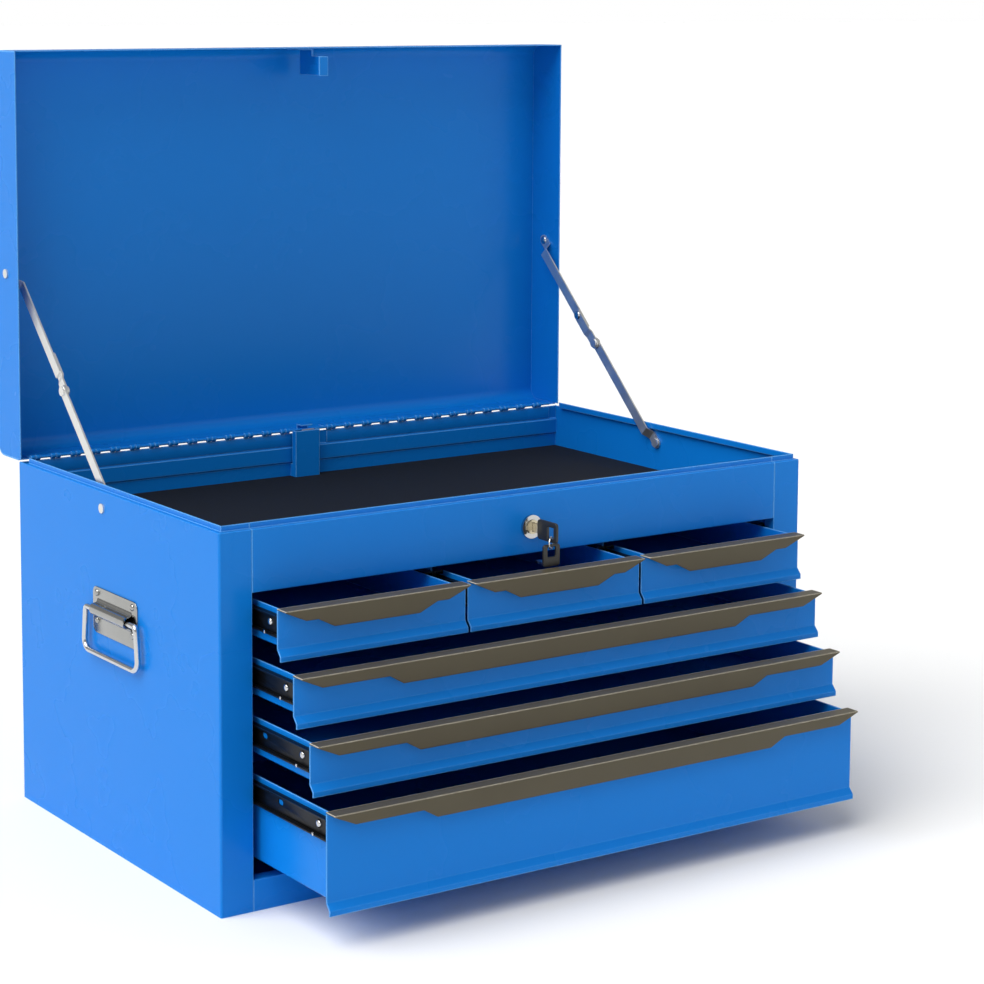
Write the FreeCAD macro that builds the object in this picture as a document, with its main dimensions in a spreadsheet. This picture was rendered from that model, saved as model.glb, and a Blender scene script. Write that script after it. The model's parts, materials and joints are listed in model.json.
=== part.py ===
import FreeCAD, Part
import math
import os
import Sketcher

# Driving dimensions in millimetres. X runs across the box, Y from front to back, Z up.
# The origin is the centre of the base, on the surface that the box stands on.
DIMENSIONS = {
    # cabinet
    "width": 600.0,
    "depth": 366.0,
    "metal": 1.0,
    "rim_inset": 4.0,
    "rim_rise": 4.5,
    "post_width": 29.5,
    "return_depth": 12.0,
    "seam": 0.3,
    "opening_base": 26.0,
    "edge_round": 0.9,
    "base_flange": 12.0,
    "corner_round": 1.8,
    "band_depth": 1.5,
    "band_drop": 29.0,
    "band_height": 16.5,
    "panel_fit": 0.2,
    # till
    "till_over_rail": 8.0,
    "till_depth": 43.0,
    "mat_thick": 2.0,
    "mat_margin": 0.6,
    # lid
    "lid_height": 47.0,
    "lid_overhang": 0.5,
    "lid_gap": 0.5,
    "lid_bend": 12.0,
    "flap_width": 12.0,
    "flap_reach": 5.0,
    "flap_drop": 8.0,
    "notch_left": 14.0,
    "notch_right": 26.0,
    "notch_rise": 4.0,
    # piano hinge
    "axis_inset": 1.5,
    "axis_rise": 2.5,
    "knuckle_radius": 2.4,
    "knuckle_gap": 0.4,
    "pin_radius": 1.2,
    "pin_fit": 0.08,
    "hinge_clear": 0.3,
    "leaf_thick": 0.8,
    "leaf_width": 12.0,
    "leaf_margin": 10.0,
    "gap_left": 8.5,
    "gap_right": 23.0,
    # drawers
    "front_gap": 2.5,
    "row_gap": 6.5,
    "foot_gap": 4.0,
    "shallow_front": 41.0,
    "deep_front": 80.0,
    "front_recess": 1.0,
    "row_one_open": 36.0,
    "row_two_open": 60.0,
    "row_three_open": 84.0,
    "row_four_open": 108.0,
    "tray_rear_room": 25.0,
    "tray_inset": 5.0,
    "tray_drop": 1.2,
    "lip_reach": 4.5,
    "lip_slope": 5.3,
    "lip_land": 4.2,
    "lip_round": 0.8,
    "tray_round": 2.0,
    # drawer pulls
    "pull_reach": 10.0,
    "pull_lean": 3.5,
    "pull_drop": 18.0,
    "pull_step": 10.0,
    "pull_leg": 8.0,
    "pull_cover": 0.1,
    "pull_inset": 1.4,
    "pull_tip_run": 20.0,
    "small_step_end": 31.0,
    "small_step_full": 47.0,
    "wide_step_end": 82.0,
    "wide_step_full": 96.0,
    # ball bearing slides
    "slide_drop": 14.0,
    "slide_short": 10.0,
    "slide_start": 12.6,
    "slide_metal": 1.2,
    "outer_height": 27.0,
    "outer_depth": 9.5,
    "outer_gap": 0.8,
    "outer_lip": 2.0,
    "inner_height": 17.0,
    "inner_depth": 5.5,
    "cage_metal": 0.8,
    "cage_height": 21.6,
    "cage_clear": 0.9,
    "cage_length": 120.0,
    "cage_rear": 22.6,
    # uprights and dividers
    "upright_width": 30.0,
    "upright_front": 18.0,
    "upright_rear": 36.0,
    "divider_below": 4.0,
    "divider_flange": 12.0,
    "divider_front": 16.0,
    "divider_rear": 26.0,
    # drawer lock bar
    "cover_left": 17.0,
    "cover_right": 9.5,
    "cover_depth": 10.0,
    "cover_foot": 30.0,
    "cover_rise": 3.0,
    "bar_width": 13.0,
    "bar_thick": 1.5,
    "bar_travel": 6.0,
    "bar_rise": 3.4,
    "bar_foot": 60.0,
    "hook_width": 10.0,
    "hook_thick": 1.5,
    "hook_lift": 7.6,
    "hook_nose": 3.6,
    "hook_behind": 4.0,
    "hook_slot": 0.6,
    "cross_half": 120.0,
    "cross_height": 8.0,
    "cross_gap": 2.0,
    # lid stays
    "stay_body_back": 165.0,
    "stay_drop": 14.5,
    "stay_lid_back": 167.0,
    "stay_rise": 24.3,
    "stay_lower": 125.0,
    "stay_width": 10.0,
    "stay_metal": 1.5,
    "stay_wall_gap": 0.25,
    "stay_offset": 6.0,
    "stay_foot": 9.0,
    "stay_joggle": 6.0,
    "stay_end": 5.5,
    "stay_layer_gap": 0.25,
    "strip_short": 18.0,
    "plate_bridge": 36.0,
    "plate_joggle": 15.0,
    "plate_flat": 11.0,
    "rivet_radius": 2.5,
    "rivet_fit": 0.1,
    "rivet_head": 4.2,
    "rivet_rise": 1.6,
    "rivet_air": 0.3,
    # carrying handles
    "bail_back": 188.0,
    "bail_below": 102.0,
    "plate_half": 40.5,
    "plate_up": 18.5,
    "plate_down": 21.5,
    "plate_metal": 1.2,
    "plate_round": 5.0,
    "barrel_out": 5.2,
    "barrel_radius": 4.4,
    "rod_radius": 2.5,
    "bail_half": 49.0,
    "bail_drop": 37.5,
    "bail_bend": 9.0,
    "bail_top_bend": 4.0,
    "bail_pin": 14.0,
    # lock and keys
    "lock_below": 28.0,
    "flange_radius": 10.0,
    "flange_depth": 2.5,
    "barrel_lock": 8.5,
    "lock_length": 20.0,
    "plug_radius": 6.0,
    "plug_proud": 1.2,
    "nut_radius": 12.5,
    "nut_depth": 3.0,
    "cam_reach": 21.0,
    "cam_half": 4.0,
    "cam_thick": 2.0,
    "cam_nose": 8.0,
    "cam_nose_depth": 4.5,
    "keyway_half": 1.15,
    "keyway_tall": 4.1,
    "blade_half": 1.0,
    "blade_tall": 3.8,
    "blade_length": 17.0,
    "neck_length": 8.0,
    "bow_length": 27.0,
    "bow_half": 8.5,
    "bow_thick": 2.4,
    "bow_bevel": 2.5,
    "slot_long": 9.4,
    "slot_short": 8.4,
    "slot_edge": 4.5,
    "slot_side": 3.2,
    "ring_radius": 5.5,
    "ring_wire": 0.8,
    "ring_air": 0.6,
    "spare_blade": 18.0,
    "spare_clear": 0.6,
    # lid catch
    "catch_side": 13.5,
    "catch_metal": 1.5,
    "catch_lip": 8.0,
    "catch_air": 1.4,
    "catch_front": 8.0,
    "catch_back": 26.0,
    "catch_foot_rise": 12.0,
    "catch_foot_width": 16.0,
    "catch_foot_height": 22.0,
    # one overrun serves every cut
    "overrun": 2.0,
}

DRAWERS_IN_TOP_ROW = 3
ROWS = 4
SHEET = "Sizes"
CLOSE = 0.001
END_ROUND_SHARE = 0.95
KNEE_SHARE = 0.4
NOSE_ROUND_SHARE = 0.6
KNUCKLE_PAIRS = 1
QUARTER_ANGLE = 90.0
BEND_STEPS = 2
NUT_SIDES = 6
FULL_ROUND_SHARE = 0.999
BAIL_FLARE_ANGLE = 6.0
RING_TURN_ANGLE = 35.0
AXES = ("x", "y", "z")


class Size:
    """A length that keeps its number and the sheet expression that drives it."""

    def __init__(self, number, text):
        self.number = number
        self.text = text

    def joined(self, sign, other, number, swap=False):
        mine, theirs = self.text, written(other)
        if swap:
            mine, theirs = theirs, mine
        return Size(number, f"({mine} {sign} {theirs})")

    def __add__(self, other):
        return self.joined("+", other, self.number + amount(other))

    def __radd__(self, other):
        return self.joined("+", other, amount(other) + self.number, True)

    def __sub__(self, other):
        return self.joined("-", other, self.number - amount(other))

    def __rsub__(self, other):
        return self.joined("-", other, amount(other) - self.number, True)

    def __mul__(self, other):
        return self.joined("*", other, self.number * amount(other))

    def __rmul__(self, other):
        return self.joined("*", other, amount(other) * self.number, True)

    def __truediv__(self, other):
        return self.joined("/", other, self.number / amount(other))

    def __neg__(self):
        return Size(-self.number, f"(-1 * {self.text})")


def amount(value):
    return value.number if isinstance(value, Size) else float(value)


def written(value):
    return value.text if isinstance(value, Size) else repr(float(value))


def build_sheet(document):
    sheet = document.addObject("Spreadsheet::Sheet", SHEET)
    for row, (alias, number) in enumerate(DIMENSIONS.items(), start=1):
        sheet.set(f"A{row}", alias)
        sheet.set(f"B{row}", str(number))
        sheet.setAlias(f"B{row}", alias)
    document.recompute()
    return sheet


document = FreeCAD.newDocument("ToolBox")
sheet = build_sheet(document)


class Sizes:
    """Reads each driving dimension from the sheet."""

    def __getattr__(self, alias):
        return Size(float(sheet.get(alias)), f"{SHEET}.{alias}")


s = Sizes()
subparts = []


def bind(item, path, value):
    item.setExpression(path, written(value))


def keep(item, label):
    item.Label = label
    subparts.append(item)
    return item


def move(item, where, rotation):
    """Sets a rotation and ties the place to the sheet."""
    base = FreeCAD.Vector(*(amount(value) for value in where))
    item.Placement = FreeCAD.Placement(base, rotation)
    for letter, value in zip("xyz", where):
        bind(item, f"Placement.Base.{letter}", value)
    return item


def place(item, x=0, y=0, z=0, axis=(1, 0, 0), angle=0.0):
    return move(item, (x, y, z), FreeCAD.Rotation(FreeCAD.Vector(*axis), angle))


class Piece:
    """One rigid piece, built as a body from sketches on its own origin planes."""

    def __init__(self, name):
        self.body = document.addObject("PartDesign::Body", name)

    def sketch(self, plane, start):
        sketch = self.body.newObject("Sketcher::SketchObject", self.body.Name + "Sketch")
        planes = {feature.Role: feature for feature in self.body.Origin.OriginFeatures}
        sketch.AttachmentSupport = (planes[plane + "_Plane"], [""])
        sketch.MapMode = "FlatFace"
        bind(sketch, "AttachmentOffset.Base.z", -start if plane == "XZ" else start)
        return sketch

    def pin_point(self, sketch, geometry, position, point):
        for kind, value in zip(("DistanceX", "DistanceY"), point):
            number = sketch.addConstraint(
                Sketcher.Constraint(kind, -1, 1, geometry, position, amount(value))
            )
            sketch.setExpression(f"Constraints[{number}]", written(value))

    def draw(self, sketch, outline, closed=True):
        corners = [FreeCAD.Vector(amount(u), amount(v), 0) for u, v in outline]
        count = len(corners)
        lines = count if closed else count - 1
        first = sketch.GeometryCount
        for index in range(lines):
            following = corners[(index + 1) % count]
            sketch.addGeometry(Part.LineSegment(corners[index], following))
        for index in range(count if closed else lines - 1):
            following = first + (index + 1) % count
            sketch.addConstraint(
                Sketcher.Constraint("Coincident", first + index, 2, following, 1)
            )
        for index in range(lines):
            self.pin_point(sketch, first + index, 1, outline[index])
        if not closed:
            self.pin_point(sketch, first + lines - 1, 2, outline[lines])

    def draw_circle(self, sketch, centre, radius):
        middle = FreeCAD.Vector(amount(centre[0]), amount(centre[1]), 0)
        circle = Part.Circle(middle, FreeCAD.Vector(0, 0, 1), amount(radius))
        number = sketch.addGeometry(circle)
        self.pin_point(sketch, number, 3, centre)
        limit = sketch.addConstraint(Sketcher.Constraint("Radius", number, amount(radius)))
        sketch.setExpression(f"Constraints[{limit}]", written(radius))

    def raise_from(self, kind, plane, sketch, length, turned):
        feature = self.body.newObject("PartDesign::" + kind, self.body.Name + kind)
        feature.Profile = sketch
        feature.Reversed = turned
        bind(feature, "Length", length)
        return feature

    def pad(self, plane, outline, start, length):
        sketch = self.sketch(plane, start)
        self.draw(sketch, outline)
        return self.raise_from("Pad", plane, sketch, length, plane == "XZ")

    def pad_circle(self, plane, centre, radius, start, length):
        sketch = self.sketch(plane, start)
        self.draw_circle(sketch, centre, radius)
        return self.raise_from("Pad", plane, sketch, length, plane == "XZ")

    def sweep_rod(self, plane, path, offset, centre, radius, start):
        """A round bar along an open path; its section stands on the path's first end."""
        spine = self.sketch(plane, offset)
        self.draw(spine, path, closed=False)
        section = self.sketch("XZ", start)
        self.draw_circle(section, centre, radius)
        pipe = self.body.newObject("PartDesign::AdditivePipe", self.body.Name + "Pipe")
        pipe.Profile = section
        pipe.Spine = (spine, [f"Edge{number}" for number in range(1, len(path))])
        pipe.Transition = "Right corner"
        return pipe

    def cut(self, plane, outline, start, length):
        sketch = self.sketch(plane, start)
        self.draw(sketch, outline)
        return self.raise_from("Pocket", plane, sketch, length, plane != "XZ")

    def cut_circles(self, plane, centres, radius, start, length):
        sketch = self.sketch(plane, start)
        for centre in centres:
            self.draw_circle(sketch, centre, radius)
        return self.raise_from("Pocket", plane, sketch, length, plane != "XZ")

    def edges_along(self, axis, corners):
        document.recompute()
        first, second = [index for index in range(3) if index != AXES.index(axis)]
        names = []
        for number, edge in enumerate(self.body.Tip.Shape.Edges, start=1):
            ends = [vertex.Point for vertex in edge.Vertexes]
            if len(ends) != 2:
                continue
            for u, v in corners:
                if all(
                    abs(end[first] - amount(u)) < CLOSE and abs(end[second] - amount(v)) < CLOSE
                    for end in ends
                ):
                    names.append(f"Edge{number}")
        return names

    def round_edges(self, axis, corners, radius, kind="Fillet"):
        names = self.edges_along(axis, corners)
        rounded = self.body.Tip
        feature = self.body.newObject("PartDesign::" + kind, self.body.Name + kind)
        feature.Base = (rounded, names)
        bind(feature, "Radius" if kind == "Fillet" else "Size", radius)
        return feature

    def keep(self, label):
        return keep(self.body, label)


def rectangle(u0, v0, u1, v1):
    return [(u0, v0), (u1, v0), (u1, v1), (u0, v1)]


def box(x0, y0, z0, x1, y1, z1):
    item = document.addObject("Part::Box", "Block")
    bind(item, "Length", x1 - x0)
    bind(item, "Width", y1 - y0)
    bind(item, "Height", z1 - z0)
    return place(item, x0, y0, z0)


TURNS = {
    "x": ((0, 1, 0), QUARTER_ANGLE),
    "y": ((1, 0, 0), -QUARTER_ANGLE),
    "z": ((1, 0, 0), 0),
}


def rod(axis, x, y, z, radius, length):
    item = document.addObject("Part::Cylinder", "Rod")
    bind(item, "Radius", radius)
    bind(item, "Height", length)
    return place(item, x, y, z, *TURNS[axis])


def rivet_head(x, y, z, side_sign):
    """A flat rivet head that grows along X to the given side."""
    start = x if side_sign > 0 else x - s.rivet_rise
    return rod("x", start, y, z, s.rivet_head, s.rivet_rise)


def fuse(*items):
    item = document.addObject("Part::MultiFuse", "Joined")
    item.Shapes = list(items)
    return item


def subtract(base, tool):
    item = document.addObject("Part::Cut", "Opened")
    item.Base = base
    item.Tool = tool
    return item


def group(*items):
    item = document.addObject("Part::Compound", "Group")
    item.Links = list(items)
    return item


# Places that several pieces share
front = -s.depth / 2
back = s.depth / 2
side = s.width / 2
opening_side = side - s.post_width
small_rows = ROWS - 1
rows_height = s.deep_front + small_rows * (s.shallow_front + s.row_gap)
first_top = s.opening_base + s.foot_gap + rows_height
opening_top = first_top + s.row_gap
till_height = opening_top + s.till_over_rail
shoulder = till_height + s.till_depth
divider_foot = first_top - s.shallow_front - s.divider_below
tray_length = s.depth - s.front_recess - s.tray_rear_room
slide_length = tray_length - s.slide_short
band_low = shoulder - s.band_drop
band_high = band_low + s.band_height
lock_height = shoulder - s.lock_below
bail_z = shoulder - s.bail_below
bar_top = shoulder + s.bar_rise
stay_body_z = shoulder - s.stay_drop
stay_lid_z = shoulder + s.stay_rise
front_half = opening_side - s.front_gap
axis_y = back - s.axis_inset
axis_z = shoulder + s.axis_rise
lid_rim = shoulder + s.lid_gap
lid_top = lid_rim + s.lid_height
lid_front = front - s.lid_overhang
lid_side = side + s.lid_overhang
wall_foot = axis_z + s.knuckle_radius + s.knuckle_gap
stay_body_y = back - s.stay_body_back
stay_lid_y = back - s.stay_lid_back
floor_foot = till_height - s.metal
slide_face = front_half - s.tray_inset
cover_front = back - s.metal - s.cover_depth
bail_y = back - s.bail_back


def open_lid(item):
    """Turns a piece that is drawn with the lid shut to the open lid."""
    return place(item, 0, axis_y - axis_z, axis_z + axis_y, (1, 0, 0), -QUARTER_ANGLE)


def side_panel(hand, label):
    """Side wall, front post with its return, shoulder and the rim that the lid closes over."""
    panel = Piece(label.title().replace("_", ""))

    def x(inward):
        return hand * (side - inward)

    plan = [
        (x(0), back),
        (x(0), front),
        (x(s.post_width), front),
        (x(s.post_width), front + s.return_depth),
        (x(s.post_width - s.metal), front + s.return_depth),
        (x(s.post_width - s.metal), front + s.metal),
        (x(s.metal), front + s.metal),
        (x(s.metal), back),
    ]
    panel.pad("XY", plan, 0, shoulder)
    ledge = shoulder - s.metal
    rim_top = shoulder + s.rim_rise
    rim = s.rim_inset + s.metal
    section = [
        (x(s.metal), ledge),
        (x(rim), ledge),
        (x(rim), rim_top),
        (x(s.rim_inset), rim_top),
        (x(s.rim_inset), shoulder),
        (x(s.metal), shoulder),
    ]
    rim_length = s.depth - s.rim_inset - s.return_depth
    panel.pad("XZ", section, front + s.rim_inset, rim_length)
    crossing = [
        (front + s.metal, ledge),
        (front + rim, ledge),
        (front + rim, rim_top),
        (front + s.rim_inset, rim_top),
        (front + s.rim_inset, shoulder),
        (front + s.metal, shoulder),
    ]
    inner, outer = x(s.post_width), x(s.rim_inset)
    low = inner if hand > 0 else outer
    panel.pad("YZ", crossing, low, s.post_width - s.rim_inset)
    corner = rectangle(x(s.rim_inset), front + s.metal, x(s.metal), front + s.rim_inset)
    panel.pad("XY", corner, ledge, s.metal)
    tall = [(x(0), front)]
    panel.round_edges("z", tall, s.corner_round)
    panel.round_edges("y", [(x(0), shoulder)], s.edge_round)
    through = x(s.rim_inset + s.overrun) if hand > 0 else x(-s.overrun)
    span = s.rim_inset + 2 * s.overrun
    pivot = [(stay_body_y, stay_body_z)]
    panel.cut_circles("YZ", pivot, s.rivet_radius + s.rivet_fit, through, span)
    return panel.keep(label)


def top_front_rail():
    """Front of the till, with its shoulder, rim and the return over the drawers."""
    rail = Piece("TopFrontRail")
    ledge = shoulder - s.metal
    rim_top = shoulder + s.rim_rise
    rim = s.rim_inset + s.metal
    section = [
        (front, opening_top),
        (front, shoulder),
        (front + s.rim_inset, shoulder),
        (front + s.rim_inset, rim_top),
        (front + rim, rim_top),
        (front + rim, ledge),
        (front + s.metal, ledge),
        (front + s.metal, opening_top + s.metal),
        (front + s.return_depth, opening_top + s.metal),
        (front + s.return_depth, opening_top),
    ]
    half = opening_side - s.seam
    rail.pad("YZ", section, -half, 2 * half)
    rail.round_edges("x", [(front, shoulder), (front, opening_top)], s.edge_round)
    hole = [(0, lock_height)]
    rail.cut_circles("XZ", hole, s.barrel_lock + s.panel_fit, front - s.overrun, 2 * s.overrun)
    return rail.keep("top_front_rail")


def bottom_front_rail():
    rail = Piece("BottomFrontRail")
    section = [
        (front, 0),
        (front, s.opening_base),
        (front + s.return_depth, s.opening_base),
        (front + s.return_depth, s.opening_base - s.metal),
        (front + s.metal, s.opening_base - s.metal),
        (front + s.metal, s.metal),
        (front + s.return_depth, s.metal),
        (front + s.return_depth, 0),
    ]
    half = opening_side - s.seam
    rail.pad("YZ", section, -half, 2 * half)
    rail.round_edges("x", [(front, s.opening_base)], s.edge_round)
    return rail.keep("bottom_front_rail")


def back_panel():
    """Back wall with the long pressed band that stiffens it behind the till."""
    panel = Piece("BackPanel")
    outer = [
        (back, 0),
        (back, band_low),
        (back - s.band_depth, band_low + s.band_depth),
        (back - s.band_depth, band_high - s.band_depth),
        (back, band_high),
        (back, shoulder - s.panel_fit),
    ]
    inner = [(y - s.metal, z) for y, z in reversed(outer)]
    half = side - s.metal
    panel.pad("YZ", outer + inner, -half, 2 * half)
    return panel.keep("back_panel")


def bottom_panel():
    """Folded base tray with flanges against the walls."""
    panel = Piece("BottomPanel")
    half = side - s.metal
    start = front + s.return_depth
    panel.pad("XY", rectangle(-half, start, half, back - s.metal), 0, s.base_flange)
    inner = half - s.metal
    inside = rectangle(-inner, start - s.overrun, inner, back - 2 * s.metal)
    panel.cut("XY", inside, s.metal, s.base_flange)
    return panel.keep("bottom_panel")


def till_sheet(name, label, foot, thick, margin):
    """A flat sheet over the whole till, cleared round the posts and the bar cover."""
    sheet_piece = Piece(name)
    half = side - s.metal - margin
    rear = back - s.metal - margin
    lead = front + s.metal + margin
    post = side - s.post_width - s.panel_fit - margin
    step = front + s.return_depth + s.panel_fit + margin
    left = -(s.cover_left + s.panel_fit + margin)
    right = s.cover_right + s.panel_fit + margin
    notch = cover_front - s.panel_fit - margin
    plan = [
        (-half, step),
        (-post, step),
        (-post, lead),
        (post, lead),
        (post, step),
        (half, step),
        (half, rear),
        (right, rear),
        (right, notch),
        (left, notch),
        (left, rear),
        (-half, rear),
    ]
    sheet_piece.pad("XY", plan, foot, thick)
    return sheet_piece.keep(label)


def dividers():
    """Hung walls between the small drawers, folded over at the top."""
    items = []
    half = s.metal / 2
    run = s.depth - s.divider_front - s.divider_rear
    for hand in (-1, 1):
        wall = Piece("Divider")
        middle = hand * divider_x()
        edge = middle + hand * half
        section = [
            (middle - hand * half, divider_foot),
            (middle - hand * half, floor_foot),
            (middle + hand * s.divider_flange, floor_foot),
            (middle + hand * s.divider_flange, floor_foot - s.metal),
            (edge, floor_foot - s.metal),
            (edge, divider_foot),
        ]
        wall.pad("XZ", section, front + s.divider_front, run)
        items.append(wall.body)
    return keep(group(*items), "dividers")


def small_front():
    return (2 * front_half - 2 * s.front_gap) / DRAWERS_IN_TOP_ROW


def divider_x():
    return (small_front() + s.front_gap) / 2


def uprights():
    """Four channels on the side walls that carry the outer slides."""
    reach = side - slide_face - s.outer_depth
    items = []
    for hand in (-1, 1):
        for start in (front + s.upright_front, back - s.upright_rear - s.upright_width):
            channel = Piece("Upright")
            end = start + s.upright_width
            plan = [
                (hand * (side - s.metal), start),
                (hand * (side - reach), start),
                (hand * (side - reach), end),
                (hand * (side - s.metal), end),
                (hand * (side - s.metal), end - s.metal),
                (hand * (side - reach + s.metal), end - s.metal),
                (hand * (side - reach + s.metal), start + s.metal),
                (hand * (side - s.metal), start + s.metal),
            ]
            foot = s.base_flange
            channel.pad("XY", plan, foot, floor_foot - foot)
            items.append(channel.body)
    return keep(group(*items), "slide_uprights")


class Drawer:
    """Where one drawer sits: its front, its tray and its slides."""

    def __init__(self, number, row, left, right, low_tray, high_tray, opened):
        self.number = number
        self.row = row
        self.left = left
        self.right = right
        self.low_tray = low_tray
        self.high_tray = high_tray
        self.face = front + s.front_recess - opened
        drop = (s.shallow_front + s.row_gap) * row
        self.top = first_top - drop
        self.tall = s.deep_front if row == ROWS - 1 else s.shallow_front
        self.foot = self.top - self.tall
        self.slide_z = self.top - s.slide_drop
        self.opened = opened
        self.wide = row > 0


def drawer_list():
    openings = (s.row_one_open, s.row_two_open, s.row_three_open, s.row_four_open)
    drawers = []
    pitch = small_front() + s.front_gap
    wall = s.metal / 2 + s.outer_depth
    for column in range(DRAWERS_IN_TOP_ROW):
        left = -front_half + column * pitch
        right = left + small_front()
        low = -slide_face if column == 0 else left - s.front_gap / 2 + wall
        last = column == DRAWERS_IN_TOP_ROW - 1
        high = slide_face if last else right + s.front_gap / 2 - wall
        drawers.append(Drawer(column + 1, 0, left, right, low, high, openings[0]))
    for row in range(1, ROWS):
        number = DRAWERS_IN_TOP_ROW + row
        drawers.append(
            Drawer(number, row, -front_half, front_half, -slide_face, slide_face, openings[row])
        )
    return drawers


def drawer_box(drawer):
    """Folded tray with a front whose foot flares into a lip."""
    tray = Piece(f"Drawer{drawer.number}")
    face = drawer.face
    crest = drawer.top - s.tray_drop
    flare = drawer.foot + s.lip_land + s.lip_slope
    rear = face + tray_length
    outer = rectangle(drawer.low_tray, face + s.metal, drawer.high_tray, rear)
    tray.pad("XY", outer, flare, crest - flare)
    tray.round_edges(
        "y", [(drawer.low_tray, flare), (drawer.high_tray, flare)], s.tray_round
    )
    inside = rectangle(
        drawer.low_tray + s.metal,
        face + 2 * s.metal,
        drawer.high_tray - s.metal,
        rear - s.metal,
    )
    tray.cut("XY", inside, flare + s.metal, crest - flare)
    tip = face - s.lip_reach
    knee = flare - s.lip_slope
    section = [
        (face, crest),
        (face, flare),
        (tip, knee),
        (tip, drawer.foot),
        (tip + s.metal, drawer.foot),
        (tip + s.metal, knee - s.metal * KNEE_SHARE),
        (face + s.metal, flare - s.metal * KNEE_SHARE),
        (face + s.metal, crest),
    ]
    tray.pad("YZ", section, drawer.left, drawer.right - drawer.left)
    tray.round_edges("x", [(face, flare), (tip, knee)], s.lip_round)
    return tray.keep(f"drawer_{drawer.number}_box")


def drawer_pull(drawer):
    """Full width pull strip hooked over the front, its lower edge stepped at both ends."""
    pull = Piece(f"Pull{drawer.number}")
    face = drawer.face
    leg = face + 2 * s.metal + s.pull_cover
    top = drawer.top
    under = top - s.tray_drop + s.pull_cover
    nose = face - s.pull_reach
    chin = nose + s.pull_lean
    base = top - s.pull_drop
    section = [
        (leg + s.metal, top),
        (nose, top),
        (chin, base),
        (chin + s.metal, base),
        (nose + s.metal, under),
        (leg, under),
        (leg, top - s.pull_leg),
        (leg + s.metal, top - s.pull_leg),
    ]
    left = drawer.left + s.pull_inset
    right = drawer.right - s.pull_inset
    pull.pad("YZ", section, left, right - left)
    walls = (
        (left - s.overrun, drawer.low_tray + s.metal + s.pull_cover),
        (drawer.high_tray - s.metal - s.pull_cover, right + s.overrun),
    )
    for start, end in walls:
        clear = rectangle(leg - s.metal / 2, base, leg + s.metal + s.overrun, under)
        pull.cut("YZ", clear, start, end - start)
    step_end = s.wide_step_end if drawer.wide else s.small_step_end
    step_full = s.wide_step_full if drawer.wide else s.small_step_full
    below = base - s.overrun
    for end, inward in ((left, 1), (right, -1)):
        outside = end - inward * s.overrun
        outline = [
            (outside, under),
            (end, under),
            (end + inward * s.pull_tip_run, top - s.pull_step),
            (end + inward * step_end, top - s.pull_step),
            (end + inward * step_full, base),
            (end + inward * step_full, below),
            (outside, below),
        ]
        depth_cut = s.pull_reach + s.overrun
        pull.cut("XZ", outline, nose - s.overrun, depth_cut)
    pull.round_edges("x", [(nose, top)], s.metal * NOSE_ROUND_SHARE)
    return pull.keep(f"drawer_{drawer.number}_pull")


def slide_sides(drawer):
    return ((drawer.low_tray, -1), (drawer.high_tray, 1))


def inner_slides(drawer):
    """The slide members on both sides of the tray."""
    start = drawer.face + s.metal
    items = []
    half = s.inner_height / 2
    z = drawer.slide_z
    for x, out in slide_sides(drawer):
        rail = Piece("InnerSlide")
        reach = x + out * s.inner_depth
        web = x + out * s.slide_metal
        section = [
            (x, z - half),
            (reach, z - half),
            (reach, z - half + s.slide_metal),
            (web, z - half + s.slide_metal),
            (web, z + half - s.slide_metal),
            (reach, z + half - s.slide_metal),
            (reach, z + half),
            (x, z + half),
        ]
        rail.pad("XZ", section, start, slide_length)
        items.append(rail.body)
    return keep(group(*items), f"drawer_{drawer.number}_slides")


def outer_slides(drawers):
    """The slide members on the uprights and dividers."""
    items = []
    half = s.outer_height / 2
    for drawer in drawers:
        for x, out in slide_sides(drawer):
            rail = Piece("OuterSlide")
            web = x + out * s.outer_depth
            inner_web = web - out * s.slide_metal
            mouth = x + out * s.outer_gap
            lip = mouth + out * s.slide_metal
            z = drawer.slide_z
            high = z + half
            low = z - half
            section = [
                (web, low),
                (mouth, low),
                (mouth, low + s.slide_metal + s.outer_lip),
                (lip, low + s.slide_metal + s.outer_lip),
                (lip, low + s.slide_metal),
                (inner_web, low + s.slide_metal),
                (inner_web, high - s.slide_metal),
                (lip, high - s.slide_metal),
                (lip, high - s.slide_metal - s.outer_lip),
                (mouth, high - s.slide_metal - s.outer_lip),
                (mouth, high),
                (web, high),
            ]
            rail.pad("XZ", section, front + s.slide_start, slide_length)
            items.append(rail.body)
    return keep(group(*items), "outer_slides")


def ball_cages(drawer):
    """The cages that carry the balls between the slide members."""
    items = []
    half = s.cage_height / 2
    rear_end = front + s.slide_start + slide_length - s.cage_rear
    start = rear_end - s.cage_length - drawer.opened / 2
    for x, out in slide_sides(drawer):
        cage = Piece("Cage")
        web = x + out * (s.outer_depth - s.slide_metal - s.cage_clear)
        inner_web = web - out * s.cage_metal
        tip = x + out * (s.outer_gap + s.slide_metal + s.cage_clear)
        z = drawer.slide_z
        section = [
            (web, z - half),
            (tip, z - half),
            (tip, z - half + s.cage_metal),
            (inner_web, z - half + s.cage_metal),
            (inner_web, z + half - s.cage_metal),
            (tip, z + half - s.cage_metal),
            (tip, z + half),
            (web, z + half),
        ]
        cage.pad("XZ", section, start, s.cage_length)
        items.append(cage.body)
    return keep(group(*items), f"drawer_{drawer.number}_ball_cages")


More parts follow.
